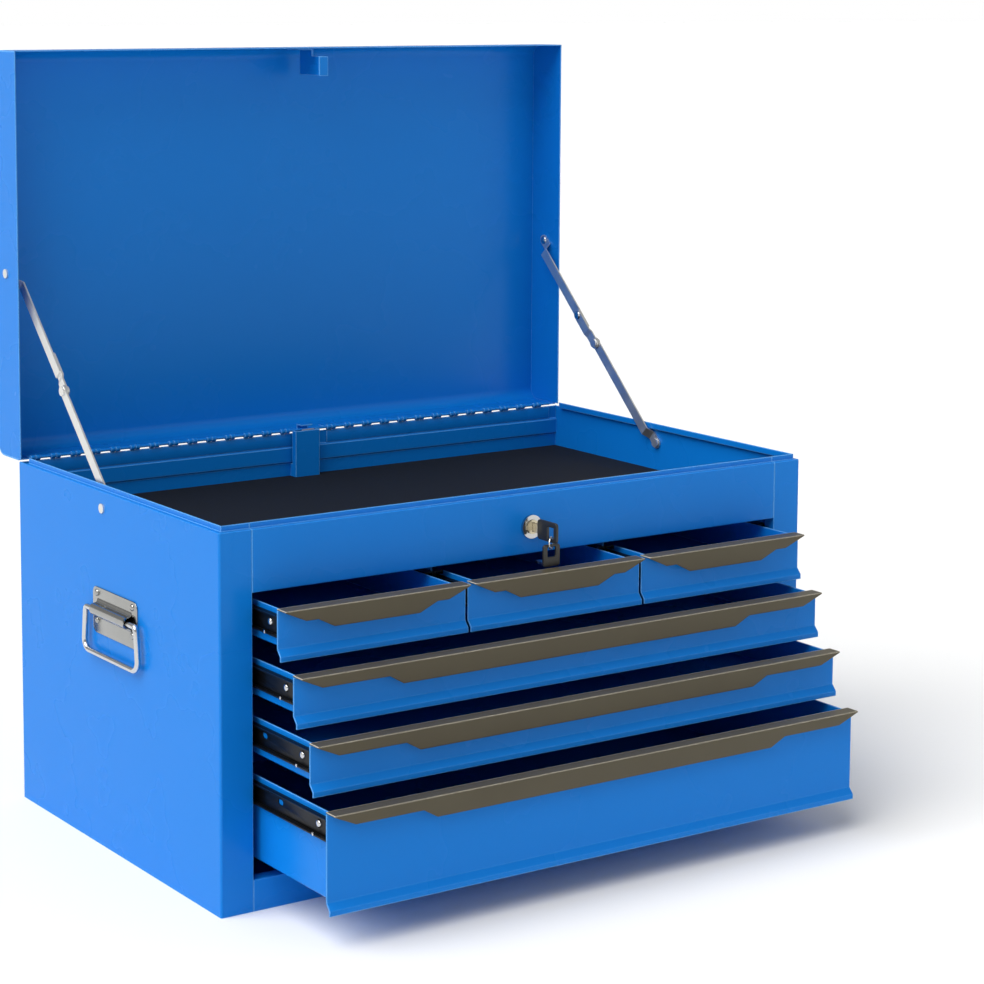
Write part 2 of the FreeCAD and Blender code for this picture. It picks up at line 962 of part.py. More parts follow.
def lid_skin():
    """One folded sheet: front wall, top and rear wall, with the flap that works the lock bar."""
    skin = Piece("LidSkin")
    section = [
        (back, wall_foot),
        (back, lid_top),
        (lid_front, lid_top),
        (lid_front, lid_rim),
        (lid_front + s.metal, lid_rim),
        (lid_front + s.metal, lid_top - s.metal),
        (back - s.metal, lid_top - s.metal),
        (back - s.metal, wall_foot),
    ]
    skin.pad("YZ", section, -lid_side, 2 * lid_side)
    skin.round_edges("x", [(back, lid_top), (lid_front, lid_top)], s.lid_bend)
    inner = [(back - s.metal, lid_top - s.metal), (lid_front + s.metal, lid_top - s.metal)]
    skin.round_edges("x", inner, s.lid_bend - s.metal)
    notch_top = wall_foot + s.notch_rise
    notch = rectangle(-s.notch_left, wall_foot - s.overrun, s.notch_right, notch_top)
    skin.cut("XZ", notch, back - s.overrun, 2 * s.overrun)
    turn = back - s.metal - s.flap_reach
    flap_foot = shoulder - s.bar_travel + s.flap_drop - s.metal
    flap = [
        (back - s.metal / 2, notch_top + s.metal),
        (turn, notch_top + s.metal),
        (turn, flap_foot),
        (turn + s.metal, flap_foot),
        (turn + s.metal, notch_top),
        (back - s.metal / 2, notch_top),
    ]
    skin.pad("YZ", flap, -s.flap_width / 2, s.flap_width)
    open_lid(skin.body)
    return skin.keep("lid_skin")


def lid_end(hand, label):
    """End wall of the lid, cut to the bends of the skin."""
    plate = Piece(label.title().replace("_", ""))
    inner_front = lid_front + s.metal
    inner_back = back - s.metal
    inner_top = lid_top - s.metal
    outline = rectangle(inner_front, lid_rim, inner_back, inner_top)
    low = hand * lid_side - (s.metal if hand > 0 else 0)
    plate.pad("YZ", outline, low, s.metal)
    plate.round_edges("x", [(inner_front, inner_top), (inner_back, inner_top)], s.lid_bend - s.metal)
    open_lid(plate.body)
    return plate.keep(label)


def hinge_runs():
    """The stretches of the hinge on both sides of the gap for the lock bar."""
    half = side - s.leaf_margin
    return ((-half, -s.gap_left), (s.gap_right, half))


def hinge_leaf(label, first, foot, tail_foot, tail_tall):
    """Half of the piano hinge: a leaf on the inside of the back and its knuckles."""
    items = []
    inner = back - s.metal
    flat_y = inner - s.leaf_thick
    bore = s.pin_radius + s.pin_fit
    for start, end in hinge_runs():
        items.append(box(start, flat_y, foot, end, inner, foot + s.leaf_width))
        pitch = (end - start) / KNUCKLE_PAIRS
        length = pitch / 2 - s.knuckle_gap
        for index in range(KNUCKLE_PAIRS):
            x = start + index * pitch + first * pitch / 2
            tube = rod("x", x, axis_y, axis_z, s.knuckle_radius, length)
            tail = box(x, flat_y, tail_foot, x + length, inner, tail_foot + tail_tall)
            hollow = rod("x", x - s.overrun, axis_y, axis_z, bore, length + 2 * s.overrun)
            items.append(subtract(fuse(tube, tail), hollow))
    return keep(fuse(*items), label)


def hinge_pin():
    half = side - s.leaf_margin
    return keep(rod("x", -half, axis_y, axis_z, s.pin_radius, 2 * half), "hinge_pin")


def lock_bar_cover():
    """Channel on the back wall that guides the drawer lock bar, slotted for its hooks."""
    cover = Piece("LockBarCover")
    left, right = -s.cover_left, s.cover_right
    wall = back - s.metal
    plan = [
        (left, wall),
        (left, cover_front),
        (right, cover_front),
        (right, wall),
        (right - s.metal, wall),
        (right - s.metal, cover_front + s.metal),
        (left + s.metal, cover_front + s.metal),
        (left + s.metal, wall),
    ]
    top = shoulder + s.cover_rise
    cover.pad("XY", plan, s.cover_foot, top - s.cover_foot)
    relief = axis_y - s.knuckle_radius - s.hinge_clear
    low_relief = band_low - s.hinge_clear
    behind = rectangle(relief, low_relief, back, top + s.overrun)
    cover.cut("YZ", behind, left - s.overrun, right - left + 2 * s.overrun)
    half = s.hook_width / 2 + s.hook_slot
    for drawer in drawers:
        if on_bar(drawer):
            low = hook_height(drawer) - s.bar_travel - s.hook_slot
            high = hook_height(drawer) + s.hook_thick + s.hook_slot
            slot = rectangle(-half, low, half, high)
            cover.cut("XZ", slot, cover_front - s.overrun, s.metal + 2 * s.overrun)
    return cover.keep("lock_bar_cover")


def on_bar(drawer):
    """True for a drawer whose middle lies in front of the lock bar."""
    return abs(amount(drawer.left + drawer.right)) < CLOSE


def hook_height(drawer):
    return drawer.top - s.tray_drop + s.hook_lift


def bar_y():
    return back - s.metal - s.flap_reach


def lock_bar():
    """Strip behind the drawers whose hooks drop over their rear walls when the lid shuts."""
    bar = Piece("LockBar")
    y = bar_y()
    half = s.bar_width / 2
    strip = rectangle(-half, y, half, y + s.bar_thick)
    bar.pad("XY", strip, s.bar_foot, bar_top - s.bar_foot)
    shut_rear = front + s.front_recess + tray_length
    nose = shut_rear - s.metal - s.hook_behind
    for drawer in drawers:
        if not on_bar(drawer):
            continue
        low = hook_height(drawer)
        high = low + s.hook_thick
        outline = [
            (y, low),
            (y, high),
            (nose, high),
            (nose, low - s.hook_nose),
            (nose + s.hook_thick, low - s.hook_nose),
            (nose + s.hook_thick, low),
        ]
        bar.pad("YZ", outline, -s.hook_width / 2, s.hook_width)
    low = hook_height(drawers[0])
    cross_y = cover_front - s.cross_gap
    beam = rectangle(-s.cross_half, low, s.cross_half, low + s.hook_thick)
    bar.pad("XZ", beam, cross_y - s.cross_height, s.cross_height)
    for hand in (-1, 1):
        middle = hand * (s.cross_half - s.hook_width / 2)
        start = middle - s.hook_width / 2
        outline = [
            (cross_y, low),
            (cross_y, low + s.hook_thick),
            (nose, low + s.hook_thick),
            (nose, low - s.hook_nose),
            (nose + s.hook_thick, low - s.hook_nose),
            (nose + s.hook_thick, low),
        ]
        bar.pad("YZ", outline, start, s.hook_width)
    return bar.keep("lock_bar")


def wall_x(hand, inward):
    return hand * (side - s.metal - inward)


def stay_points():
    """The pivots of a stay with the lid open, and the direction of its links."""
    low_y, low_z = stay_body_y, stay_body_z
    high_y = axis_y + (stay_lid_z - axis_z)
    high_z = axis_z - (stay_lid_y - axis_y)
    rise = high_z - low_z
    run = high_y - low_y
    span = math.hypot(amount(run), amount(rise))
    angle = math.degrees(math.atan2(amount(rise), amount(run)))
    return low_y, low_z, high_y, high_z, span, angle


def link_strip(name, hand, stations, thick, rounded_ends):
    """A strip that follows stations of (distance along, distance in from the wall)."""
    strip = Piece(name)
    inner = [(along, inward + thick) for along, inward in reversed(stations)]
    outline = [(-hand * inward, along) for along, inward in stations + inner]
    half = s.stay_width / 2
    strip.pad("XY", outline, -half, s.stay_width)
    ends = [(along, level) for along in rounded_ends for level in (-half, half)]
    strip.round_edges("x", ends, half * END_ROUND_SHARE)
    return strip


def stay_lower(hand, label):
    """Link from the cabinet wall to the elbow, with its half of the elbow rivet."""
    low_y, low_z, high_y, high_z, span, angle = stay_points()
    near = s.stay_wall_gap
    far = near + s.stay_offset
    ends = (-s.stay_end, s.stay_lower + s.stay_end)
    stations = [
        (ends[0], near),
        (s.stay_foot, near),
        (s.stay_foot + s.stay_joggle, far),
        (ends[1], far),
    ]
    strip = link_strip("StayLower", hand, stations, s.stay_metal, ends)
    reach = far + s.stay_metal + 2 * s.overrun
    start = -s.overrun if hand < 0 else s.overrun - reach
    centre = (0, 0)
    strip.cut_circles("YZ", [centre], s.rivet_radius + s.rivet_fit, start, reach)
    place(strip.body, wall_x(hand, 0), low_y, low_z, (1, 0, 0), angle)
    elbow = stay_place(s.stay_lower)
    head = rivet_head(wall_x(hand, far), elbow[0], elbow[1], hand)
    return keep(group(strip.body, head), label)


def stay_place(distance):
    """The point that lies this far up the open stay from its lower pivot."""
    low_y, low_z, high_y, high_z, span, angle = stay_points()
    share = distance / span
    return (
        low_y + (high_y - low_y) * share,
        low_z + (high_z - low_z) * share,
    )


def stay_upper(hand, label):
    """Link from the lid to the elbow, ending in a joggled elbow plate on two rivets."""
    low_y, low_z, high_y, high_z, span, angle = stay_points()
    length = Size(span, repr(span)) - s.stay_lower
    near = s.stay_wall_gap - s.lid_overhang
    far = s.stay_wall_gap + s.stay_offset + s.stay_metal + s.stay_layer_gap
    stations = [
        (s.stay_end, near),
        (-s.stay_foot, near),
        (-s.stay_foot - s.stay_joggle, far),
        (s.strip_short - length, far),
    ]
    strip = link_strip("StayUpper", hand, stations, s.stay_metal, [s.stay_end])
    place(strip.body, wall_x(hand, 0), high_y, high_z, (1, 0, 0), angle)
    face = far + s.stay_metal
    ends = (-s.stay_end, s.plate_bridge + s.stay_end)
    steps = [
        (ends[0], far),
        (s.plate_flat, far),
        (s.plate_joggle, face),
        (ends[1], face),
    ]
    plate = link_strip("ElbowPlate", hand, steps, s.stay_metal, ends)
    elbow = stay_place(s.stay_lower)
    place(plate.body, wall_x(hand, 0), elbow[0], elbow[1], (1, 0, 0), angle)
    head = rivet_head(wall_x(hand, face), elbow[0], elbow[1], -hand)
    return keep(group(strip.body, plate.body, head), label)


def body_rivets():
    """Rivets through the side walls that the stays turn on."""
    items = []
    inner = s.stay_wall_gap + s.stay_metal + s.rivet_air
    reach = s.metal + inner
    for hand in (-1, 1):
        start = -side if hand < 0 else side - reach
        shank = rod("x", start, stay_body_y, stay_body_z, s.rivet_radius, reach)
        outside = rivet_head(hand * side, stay_body_y, stay_body_z, hand)
        inside = rivet_head(wall_x(hand, inner), stay_body_y, stay_body_z, -hand)
        items.append(fuse(shank, outside, inside))
    return keep(group(*items), "body_rivets")


def lid_rivets():
    """Rivet heads that show on the ends of the lid where the stays are fixed."""
    heads = [
        rivet_head(hand * lid_side, stay_lid_y, stay_lid_z, hand) for hand in (-1, 1)
    ]
    return keep(open_lid(group(*heads)), "lid_rivets")


def bail_plate(hand, label):
    """Fixing plate with a barrel rolled across it, which holds the bail."""
    plate = Piece(label.title().replace("_", ""))
    low = bail_y - s.plate_half
    high = bail_y + s.plate_half
    foot = bail_z - s.plate_down
    top = bail_z + s.plate_up
    start = side if hand > 0 else -side - s.plate_metal
    plate.pad("YZ", rectangle(low, foot, high, top), start, s.plate_metal)
    corners = [(y, z) for y in (low, high) for z in (foot, top)]
    plate.round_edges("x", corners, s.plate_round)
    centre = (hand * (side + s.barrel_out), bail_z)
    length = 2 * s.plate_half
    plate.pad_circle("XZ", centre, s.barrel_radius, low, length)
    bore = s.rod_radius + s.pin_fit
    plate.cut_circles("XZ", [centre], bore, low - s.overrun, length + 2 * s.overrun)
    return plate.keep(label)


def arc_points(centre_y, centre_z, radius, first, last, steps):
    """Points on an arc that a bent bar follows, between two angles in degrees."""
    points = []
    for step in range(steps + 1):
        angle = math.radians(first + (last - first) * step / steps)
        y = centre_y + radius * math.cos(angle)
        points.append((y, centre_z + radius * math.sin(angle)))
    return points


def bail(hand, label):
    """Round bar bent into a handle, its arms flared and its ends turned into the barrel."""
    handle = Piece(label.title().replace("_", ""))
    x = hand * (side + s.barrel_out)
    bend = s.bail_bend
    foot = bail_z - s.bail_drop
    middle = s.bail_half - bend
    lean = math.tan(math.radians(BAIL_FLARE_ANGLE))
    top_y = middle + bend - lean * (s.bail_drop - bend - s.bail_top_bend)
    top_middle = top_y - s.bail_top_bend
    pin_end = s.plate_half - s.bail_pin
    half = [(pin_end, bail_z)]
    top_z = bail_z - s.bail_top_bend
    turn = (QUARTER_ANGLE, BAIL_FLARE_ANGLE)
    half += arc_points(top_middle, top_z, s.bail_top_bend, *turn, 1)
    half += arc_points(middle, foot + bend, bend, turn[1], -turn[0], BEND_STEPS)
    path = [(bail_y - y, z) for y, z in half]
    path += [(bail_y + y, z) for y, z in reversed(half)]
    centre = (x, bail_z)
    handle.sweep_rod("YZ", path, x, centre, s.rod_radius, bail_y - pin_end)
    return handle.keep(label)


def lock_housing():
    """Barrel of the lock with its flange, clamped by a nut behind the rail."""
    z = lock_height
    flange = document.addObject("Part::Cylinder", "Flange")
    bind(flange, "Radius", s.flange_radius)
    bind(flange, "Height", s.flange_depth)
    place(flange, 0, front - s.flange_depth, z, *TURNS["y"])
    barrel = rod("y", 0, front, z, s.barrel_lock, s.lock_length)
    solid = fuse(flange, barrel)
    length = s.flange_depth + s.lock_length + 2 * s.overrun
    bore = rod("y", 0, front - s.flange_depth - s.overrun, z, s.plug_radius + s.pin_fit, length)
    nut = document.addObject("Part::Prism", "Nut")
    nut.Polygon = NUT_SIDES
    bind(nut, "Circumradius", s.nut_radius)
    bind(nut, "Height", s.nut_depth)
    place(nut, 0, front + s.metal, z, *TURNS["y"])
    return keep(subtract(fuse(solid, nut), bore), "lock_housing")


def lock_plug():
    """Turning plug with its keyway."""
    z = lock_height
    length = s.flange_depth + s.lock_length + s.plug_proud
    start = front - s.flange_depth - s.plug_proud
    core = rod("y", 0, start, z, s.plug_radius, length)
    slot = box(
        -s.keyway_half,
        start - s.overrun,
        z - s.keyway_tall,
        s.keyway_half,
        front + s.blade_length + s.overrun,
        z + s.keyway_tall,
    )
    return keep(subtract(core, slot), "lock_plug")


def lock_cam():
    """Hooked cam behind the lock, which points sideways while the lid is free."""
    cam = Piece("LockCam")
    z = lock_height
    tip = -s.cam_reach
    outline = [
        (s.cam_half, z - s.cam_half),
        (s.cam_half, z + s.cam_half),
        (tip + s.cam_nose_depth, z + s.cam_half),
        (tip + s.cam_nose_depth, z + s.cam_half + s.cam_nose),
        (tip, z + s.cam_half + s.cam_nose),
        (tip, z - s.cam_half),
    ]
    cam.pad("XZ", outline, front + s.lock_length, s.cam_thick)
    return cam.keep("lock_cam")


def key_solid(name, blade):
    """A key that lies along Y: blade towards +Y, slotted head towards -Y, flat in the YZ plane."""
    key = Piece(name)
    shoulder = 0
    tall = s.blade_tall
    key.pad("YZ", rectangle(shoulder, -tall, blade, tall), -s.blade_half, 2 * s.blade_half)
    far = -s.bow_length
    half = s.bow_half
    bevel = s.bow_bevel
    head = [
        (far + bevel, -half),
        (shoulder - bevel, -half),
        (shoulder, bevel - half),
        (shoulder, half - bevel),
        (shoulder - bevel, half),
        (far + bevel, half),
        (far, half - bevel),
        (far, bevel - half),
    ]
    key.pad("YZ", head, -s.bow_thick / 2, s.bow_thick)
    edges = [(sign * s.bow_thick / 2, -half) for sign in (-1, 1)]
    key.round_edges("y", edges, s.bow_thick / 2 * FULL_ROUND_SHARE)
    outer = -s.bow_length + s.slot_edge
    return key, outer


def key():
    """Key in the lock, head upright."""
    blade = s.neck_length + s.blade_length + s.flange_depth
    piece, outer = key_solid("Key", blade)
    low = -s.bow_half + s.slot_side
    slot = rectangle(outer, low, outer + s.slot_short, low + s.slot_long)
    piece.cut("YZ", slot, -s.bow_thick, 2 * s.bow_thick)
    place(piece.body, 0, key_y(), lock_height)
    return piece.keep("key")


def key_y():
    return front - s.flange_depth - s.neck_length


def ring_y():
    return key_y() - s.bow_length + s.slot_edge + s.slot_short / 2


def ring_axis_z():
    """The rounded lower edge of the key's head, which the ring swings on."""
    return lock_height - s.bow_half + s.bow_thick / 2


def ring_centre_z():
    wall = amount(s.slot_side - s.bow_thick / 2)
    corner = math.hypot(wall, amount(s.bow_thick) / 2)
    lift = Size(corner, repr(corner)) + s.ring_air
    return ring_axis_z() + lift + s.ring_wire - s.ring_radius


def key_ring():
    """Wire ring that hangs from the key and holds the spare."""
    turn = FreeCAD.Rotation(FreeCAD.Vector(0, 0, 1), RING_TURN_ANGLE) * FreeCAD.Rotation(
        FreeCAD.Vector(1, 0, 0), QUARTER_ANGLE
    )
    disc = rod("z", 0, 0, -s.ring_wire, s.ring_radius + s.ring_wire, 2 * s.ring_wire)
    hole = rod("z", 0, 0, -s.overrun, s.ring_radius - s.ring_wire, 2 * s.overrun)
    ring = subtract(disc, hole)
    move(ring, (0, ring_y(), ring_centre_z()), turn)
    return keep(ring, "key_ring")


def spare_slot_top():
    """Where the bar over the spare's slot rests inside the ring, which stands askew to it."""
    turn = math.radians(RING_TURN_ANGLE)
    wire = amount(s.ring_wire)
    askew = (amount(s.bow_thick) / 2 + wire * math.cos(turn)) / math.sin(turn)
    inner = amount(s.ring_radius) - wire
    drop = math.sqrt(inner * inner - askew * askew)
    return ring_centre_z() - Size(drop, repr(drop)) + s.ring_air / 2


def spare_key():
    """Spare key that hangs from the ring and faces the front, folded above the drawer."""
    spare = Piece("SpareKey")
    y = ring_y()
    half = s.bow_half
    bevel = s.bow_bevel
    slot_top = spare_slot_top()
    top = slot_top + s.slot_edge / 2
    foot = first_top + s.spare_clear
    head = [
        (-half, foot),
        (half, foot),
        (half, top - bevel),
        (half - bevel, top),
        (bevel - half, top),
        (-half, top - bevel),
    ]
    rear = y + s.bow_thick / 2
    spare.pad("XZ", head, rear - s.bow_thick, s.bow_thick)
    blade = rectangle(-s.blade_tall, foot, s.blade_tall, foot + 2 * s.blade_half)
    spare.pad("XZ", blade, rear, s.spare_blade)
    half_slot = s.slot_short / 2
    slot = rectangle(-half_slot, slot_top - s.slot_short, half_slot, slot_top)
    spare.cut("XZ", slot, rear - s.bow_thick - s.overrun, s.bow_thick + 2 * s.overrun)
    return spare.keep("spare_key")


def lid_catch():
    """Bracket under the lid front whose lip the hooked cam passes over."""
    catch = Piece("LidCatch")
    tip = lock_height + s.cam_reach
    lip_top = tip - s.cam_nose_depth - s.catch_air
    lip_foot = lip_top - s.catch_metal
    outer = s.catch_side + s.catch_metal
    rise = lid_rim + s.catch_foot_rise
    hook = [
        (s.catch_side - s.catch_lip, lip_foot),
        (outer, lip_foot),
        (outer, rise + s.catch_foot_height),
        (s.catch_side, rise + s.catch_foot_height),
        (s.catch_side, lip_top),
        (s.catch_side - s.catch_lip, lip_top),
    ]
    catch.pad("XZ", hook, front + s.catch_front, s.catch_back - s.catch_front)
    wall = lid_front + s.metal
    web = rectangle(s.catch_side, rise, outer, rise + s.catch_foot_height)
    catch.pad("XZ", web, wall, front + s.catch_front - wall)
    foot = rectangle(outer - s.catch_foot_width, rise, outer, rise + s.catch_foot_height)
    catch.pad("XZ", foot, wall, s.catch_metal)
    open_lid(catch.body)
    return catch.keep("lid_catch")


drawers = drawer_list()
side_panel(-1, "side_panel_left")
side_panel(1, "side_panel_right")
back_panel()
bottom_panel()
top_front_rail()
bottom_front_rail()
till_sheet("TillFloor", "till_floor", floor_foot, s.metal, 0)
till_sheet("TillMat", "till_mat", till_height, s.mat_thick, s.mat_margin)
dividers()
uprights()
outer_slides(drawers)
for drawer in drawers:
    drawer_box(drawer)
    drawer_pull(drawer)
    inner_slides(drawer)
    ball_cages(drawer)
lid_skin()
lid_end(-1, "lid_end_left")
lid_end(1, "lid_end_right")
leaf_top = axis_z - s.knuckle_radius - s.knuckle_gap
hinge_leaf(
    "body_hinge_leaf",
    0,
    leaf_top - s.leaf_width,
    leaf_top - s.metal,
    s.knuckle_radius + s.knuckle_gap + s.metal,
)
open_lid(
    hinge_leaf(
        "lid_hinge_leaf",
        1,
        wall_foot,
        axis_z,
        s.knuckle_radius + s.knuckle_gap + s.metal,
    )
)
hinge_pin()
lock_bar_cover()
lock_bar()
for hand, word in ((-1, "left"), (1, "right")):
    stay_lower(hand, f"stay_lower_{word}")
    stay_upper(hand, f"stay_upper_{word}")
    bail_plate(hand, f"handle_plate_{word}")
    bail(hand, f"bail_{word}")
body_rivets()
lid_rivets()
lock_housing()
lock_plug()
lock_cam()
key()
key_ring()
spare_key()
lid_catch()

document.recompute()
for item in document.Objects:
    if "Invalid" in item.State or "Error" in item.State:
        raise RuntimeError(f"{item.Name} did not build: {item.State}")
for item in subparts:
    if item.Shape.isNull() or not item.Shape.isValid() or not item.Shape.Solids:
        raise RuntimeError(f"{item.Label} is not a sound solid")

os.makedirs("parts", exist_ok=True)
for item in subparts:
    item.Shape.exportStep(f"parts/{item.Label}.step")
print(f"{len(subparts)} sub-parts written")
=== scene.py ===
import json
import math
import bmesh
import bpy
from mathutils import Matrix, Vector


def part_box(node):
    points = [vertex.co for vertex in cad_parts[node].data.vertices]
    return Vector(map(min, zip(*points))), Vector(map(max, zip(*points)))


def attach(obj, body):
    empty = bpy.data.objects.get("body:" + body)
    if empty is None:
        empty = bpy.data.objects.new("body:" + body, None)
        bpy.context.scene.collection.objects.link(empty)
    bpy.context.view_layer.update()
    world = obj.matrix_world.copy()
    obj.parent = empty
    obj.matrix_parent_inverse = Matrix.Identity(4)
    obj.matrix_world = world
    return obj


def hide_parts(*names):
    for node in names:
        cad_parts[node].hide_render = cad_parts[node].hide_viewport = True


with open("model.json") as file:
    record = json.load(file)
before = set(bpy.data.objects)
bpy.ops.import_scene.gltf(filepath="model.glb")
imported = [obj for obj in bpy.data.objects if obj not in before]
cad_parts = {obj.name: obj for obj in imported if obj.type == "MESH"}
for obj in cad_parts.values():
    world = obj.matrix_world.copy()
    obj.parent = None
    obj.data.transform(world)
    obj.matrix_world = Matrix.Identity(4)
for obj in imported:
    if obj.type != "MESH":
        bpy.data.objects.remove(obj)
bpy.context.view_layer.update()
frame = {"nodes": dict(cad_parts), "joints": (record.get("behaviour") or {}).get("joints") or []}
nodes = frame["nodes"]
mm = 0.001  # the frame is in metres, the sizes below are in millimetres
print("frame loaded:", len(nodes), "nodes")


# Colours, nodes and materials

noiseLow, noiseHigh = 0.3, 0.7  # nearly all of a noise texture lies between these
mixBy, mixFrom, mixTo, mixed = 0, 6, 7, 2  # a Mix node's colour sockets, whose names other sockets share
waveFactor = 20  # a wave texture multiplies its scale by this
few, some, many = 1.0, 2.0, 3.0  # octaves of a noise texture: how finely it is broken up
edgeRays = 6


def linearColour(hexText):
    parts = [int(hexText[i:i + 2], 16) / 255 for i in (1, 3, 5)]
    straight = [c / 12.92 if c <= 0.04045 else ((c + 0.055) / 1.055) ** 2.4 for c in parts]
    return (*straight, 1.0)


def perMetre(sizeMm):
    return 1 / (sizeMm * mm)


def fillInputs(tree, node, inputs):
    for name, value in inputs.items():
        if isinstance(value, bpy.types.NodeSocket):
            tree.links.new(value, node.inputs[name])
        else:
            node.inputs[name].default_value = value


def addNode(tree, kind, inputs=None, output=0, **settings):
    node = tree.nodes.new("ShaderNode" + kind)
    for name, value in settings.items():
        setattr(node, name, value)
    fillInputs(tree, node, inputs or {})
    return node.outputs[output]


def startMaterial(name):
    material = bpy.data.materials.new(name)
    material.use_nodes = True
    tree = material.node_tree
    place = addNode(tree, "TexCoord", output="Object")
    return material, tree, tree.nodes["Principled BSDF"], place


def edgeMask(tree, wideMm, sharp, flat):
    # the softened normal turns away from the exact one near an edge: the mask is 1 there and 0 on a flat face
    soft = addNode(tree, "Bevel", {"Radius": wideMm * mm}, samples=edgeRays)
    exact = addNode(tree, "NewGeometry", output="Normal")
    match = addNode(tree, "VectorMath", {0: soft, 1: exact}, "Value", operation="DOT_PRODUCT")
    bend = {"Value": match, "From Min": flat, "From Max": sharp, "To Min": 0.0, "To Max": 1.0}
    return soft, addNode(tree, "MapRange", bend)


powderCoat = {
    "colour": "#0A77D0",
    "paintedEdgeHighlight": "#6FB8F8",  # painted highlight: every edge is tinted this lighter blue
    "ior": 1.5,
    "shine": 0.15,
    "peelMm": 1.6,  # orange peel of a sprayed and baked coat
    "peelDeep": 0.003,
    "cloudMm": 90.0,
    "gloss": 0.24,
    "dull": 0.31,
    "edgeMm": 1.2,
    "edgeSharp": 0.93,
    "edgeFlat": 0.99,
}


def makePowderCoat():
    # polyester powder baked on sheet steel: an even satin colour, whose faint peel softens each reflection
    kit = powderCoat
    material, tree, surface, place = startMaterial("powderCoatedSteelBlue")
    peel = addNode(tree, "TexNoise", {"Vector": place, "Scale": perMetre(kit["peelMm"]), "Detail": few})
    cloud = addNode(tree, "TexNoise", {"Vector": place, "Scale": perMetre(kit["cloudMm"]), "Detail": many})
    soft, edge = edgeMask(tree, kit["edgeMm"], kit["edgeSharp"], kit["edgeFlat"])
    # painted highlight: the edge mask lightens the blue along every edge
    coats = {mixBy: edge, mixFrom: linearColour(kit["colour"]), mixTo: linearColour(kit["paintedEdgeHighlight"])}
    gloss = {"Value": cloud, "From Min": noiseLow, "From Max": noiseHigh,
             "To Min": kit["gloss"], "To Max": kit["dull"]}
    bumps = {"Height": peel, "Distance": kit["peelDeep"] * mm, "Normal": soft}
    fillInputs(tree, surface, {
        "Base Color": addNode(tree, "Mix", coats, mixed, data_type="RGBA"),
        "Roughness": addNode(tree, "MapRange", gloss),
        "Normal": addNode(tree, "Bump", bumps),
        "IOR": kit["ior"],
        "Specular IOR Level": kit["shine"],
    })
    return material


pullPaint = {
    "colour": "#554F3D",
    "deep": "#4D4636",
    "drawLineToneAndNoseHighlight": "#DDD6C6",  # painted highlight along the nose line
    "ior": 1.5,
    "shine": 0.24,
    "grainMm": 0.9,
    "grainDeep": 0.004,
    "cloudMm": 40.0,
    "gloss": 0.30,
    "dull": 0.40,
    "edgeMm": 1.2,
    "edgeSharp": 0.945,
    "edgeFlat": 0.992,
    "noseFrom": 0.05,  # the painted highlight goes only on edges facing up, where light from above falls: the nose faces up and the cut edge below it faces down
    "noseFull": 0.25,
}


def makePullPaint():
    # rolled steel strip in a bronze-grey satin enamel: warm and low in gloss, with a painted highlight line
    # only at the nose
    kit = pullPaint
    material, tree, surface, place = startMaterial("satinEnamelBronzeGrey")
    grain = addNode(tree, "TexNoise", {"Vector": place, "Scale": perMetre(kit["grainMm"]), "Detail": some})
    cloud = addNode(tree, "TexNoise", {"Vector": place, "Scale": perMetre(kit["cloudMm"]), "Detail": some})
    soft, edge = edgeMask(tree, kit["edgeMm"], kit["edgeSharp"], kit["edgeFlat"])
    upward = addNode(tree, "SeparateXYZ", {"Vector": soft}, "Z")
    facing = {"Value": upward, "From Min": kit["noseFrom"], "From Max": kit["noseFull"],
              "To Min": 0.0, "To Max": 1.0}
    nose = addNode(tree, "Math", {0: edge, 1: addNode(tree, "MapRange", facing)}, operation="MULTIPLY")
    enamel = {mixBy: cloud, mixFrom: linearColour(kit["colour"]), mixTo: linearColour(kit["deep"])}
    even = addNode(tree, "Mix", enamel, mixed, data_type="RGBA")
    # painted highlight: the enamel is lightened along the upward-facing nose edge
    noseHighlighted = {mixBy: nose, mixFrom: even, mixTo: linearColour(kit["drawLineToneAndNoseHighlight"])}
    gloss = {"Value": grain, "From Min": noiseLow, "From Max": noiseHigh,
             "To Min": kit["gloss"], "To Max": kit["dull"]}
    bumps = {"Height": grain, "Distance": kit["grainDeep"] * mm, "Normal": soft}
    fillInputs(tree, surface, {
        "Base Color": addNode(tree, "Mix", noseHighlighted, mixed, data_type="RGBA"),
        "Roughness": addNode(tree, "MapRange", gloss),
        "Normal": addNode(tree, "Bump", bumps),
        "IOR": kit["ior"],
        "Specular IOR Level": kit["shine"],
    })
    return material


slideCoat = {
    "colour": "#07080A",
    "drawLineToneAndNoseHighlight": "#101216",
    "rubFrom": 0.45,
    "rubFull": 0.75,
    "ior": 1.5,
    "shine": 0.3,
    "drawMm": 0.7,  # lines from rolling the strip, made coarser than real so that they show
    "drawDeep": 0.004,
    "drawLong": 0.02,  # squeezes the pattern, so that a line runs fifty times its width
    "gloss": 0.28,
    "dull": 0.42,
}


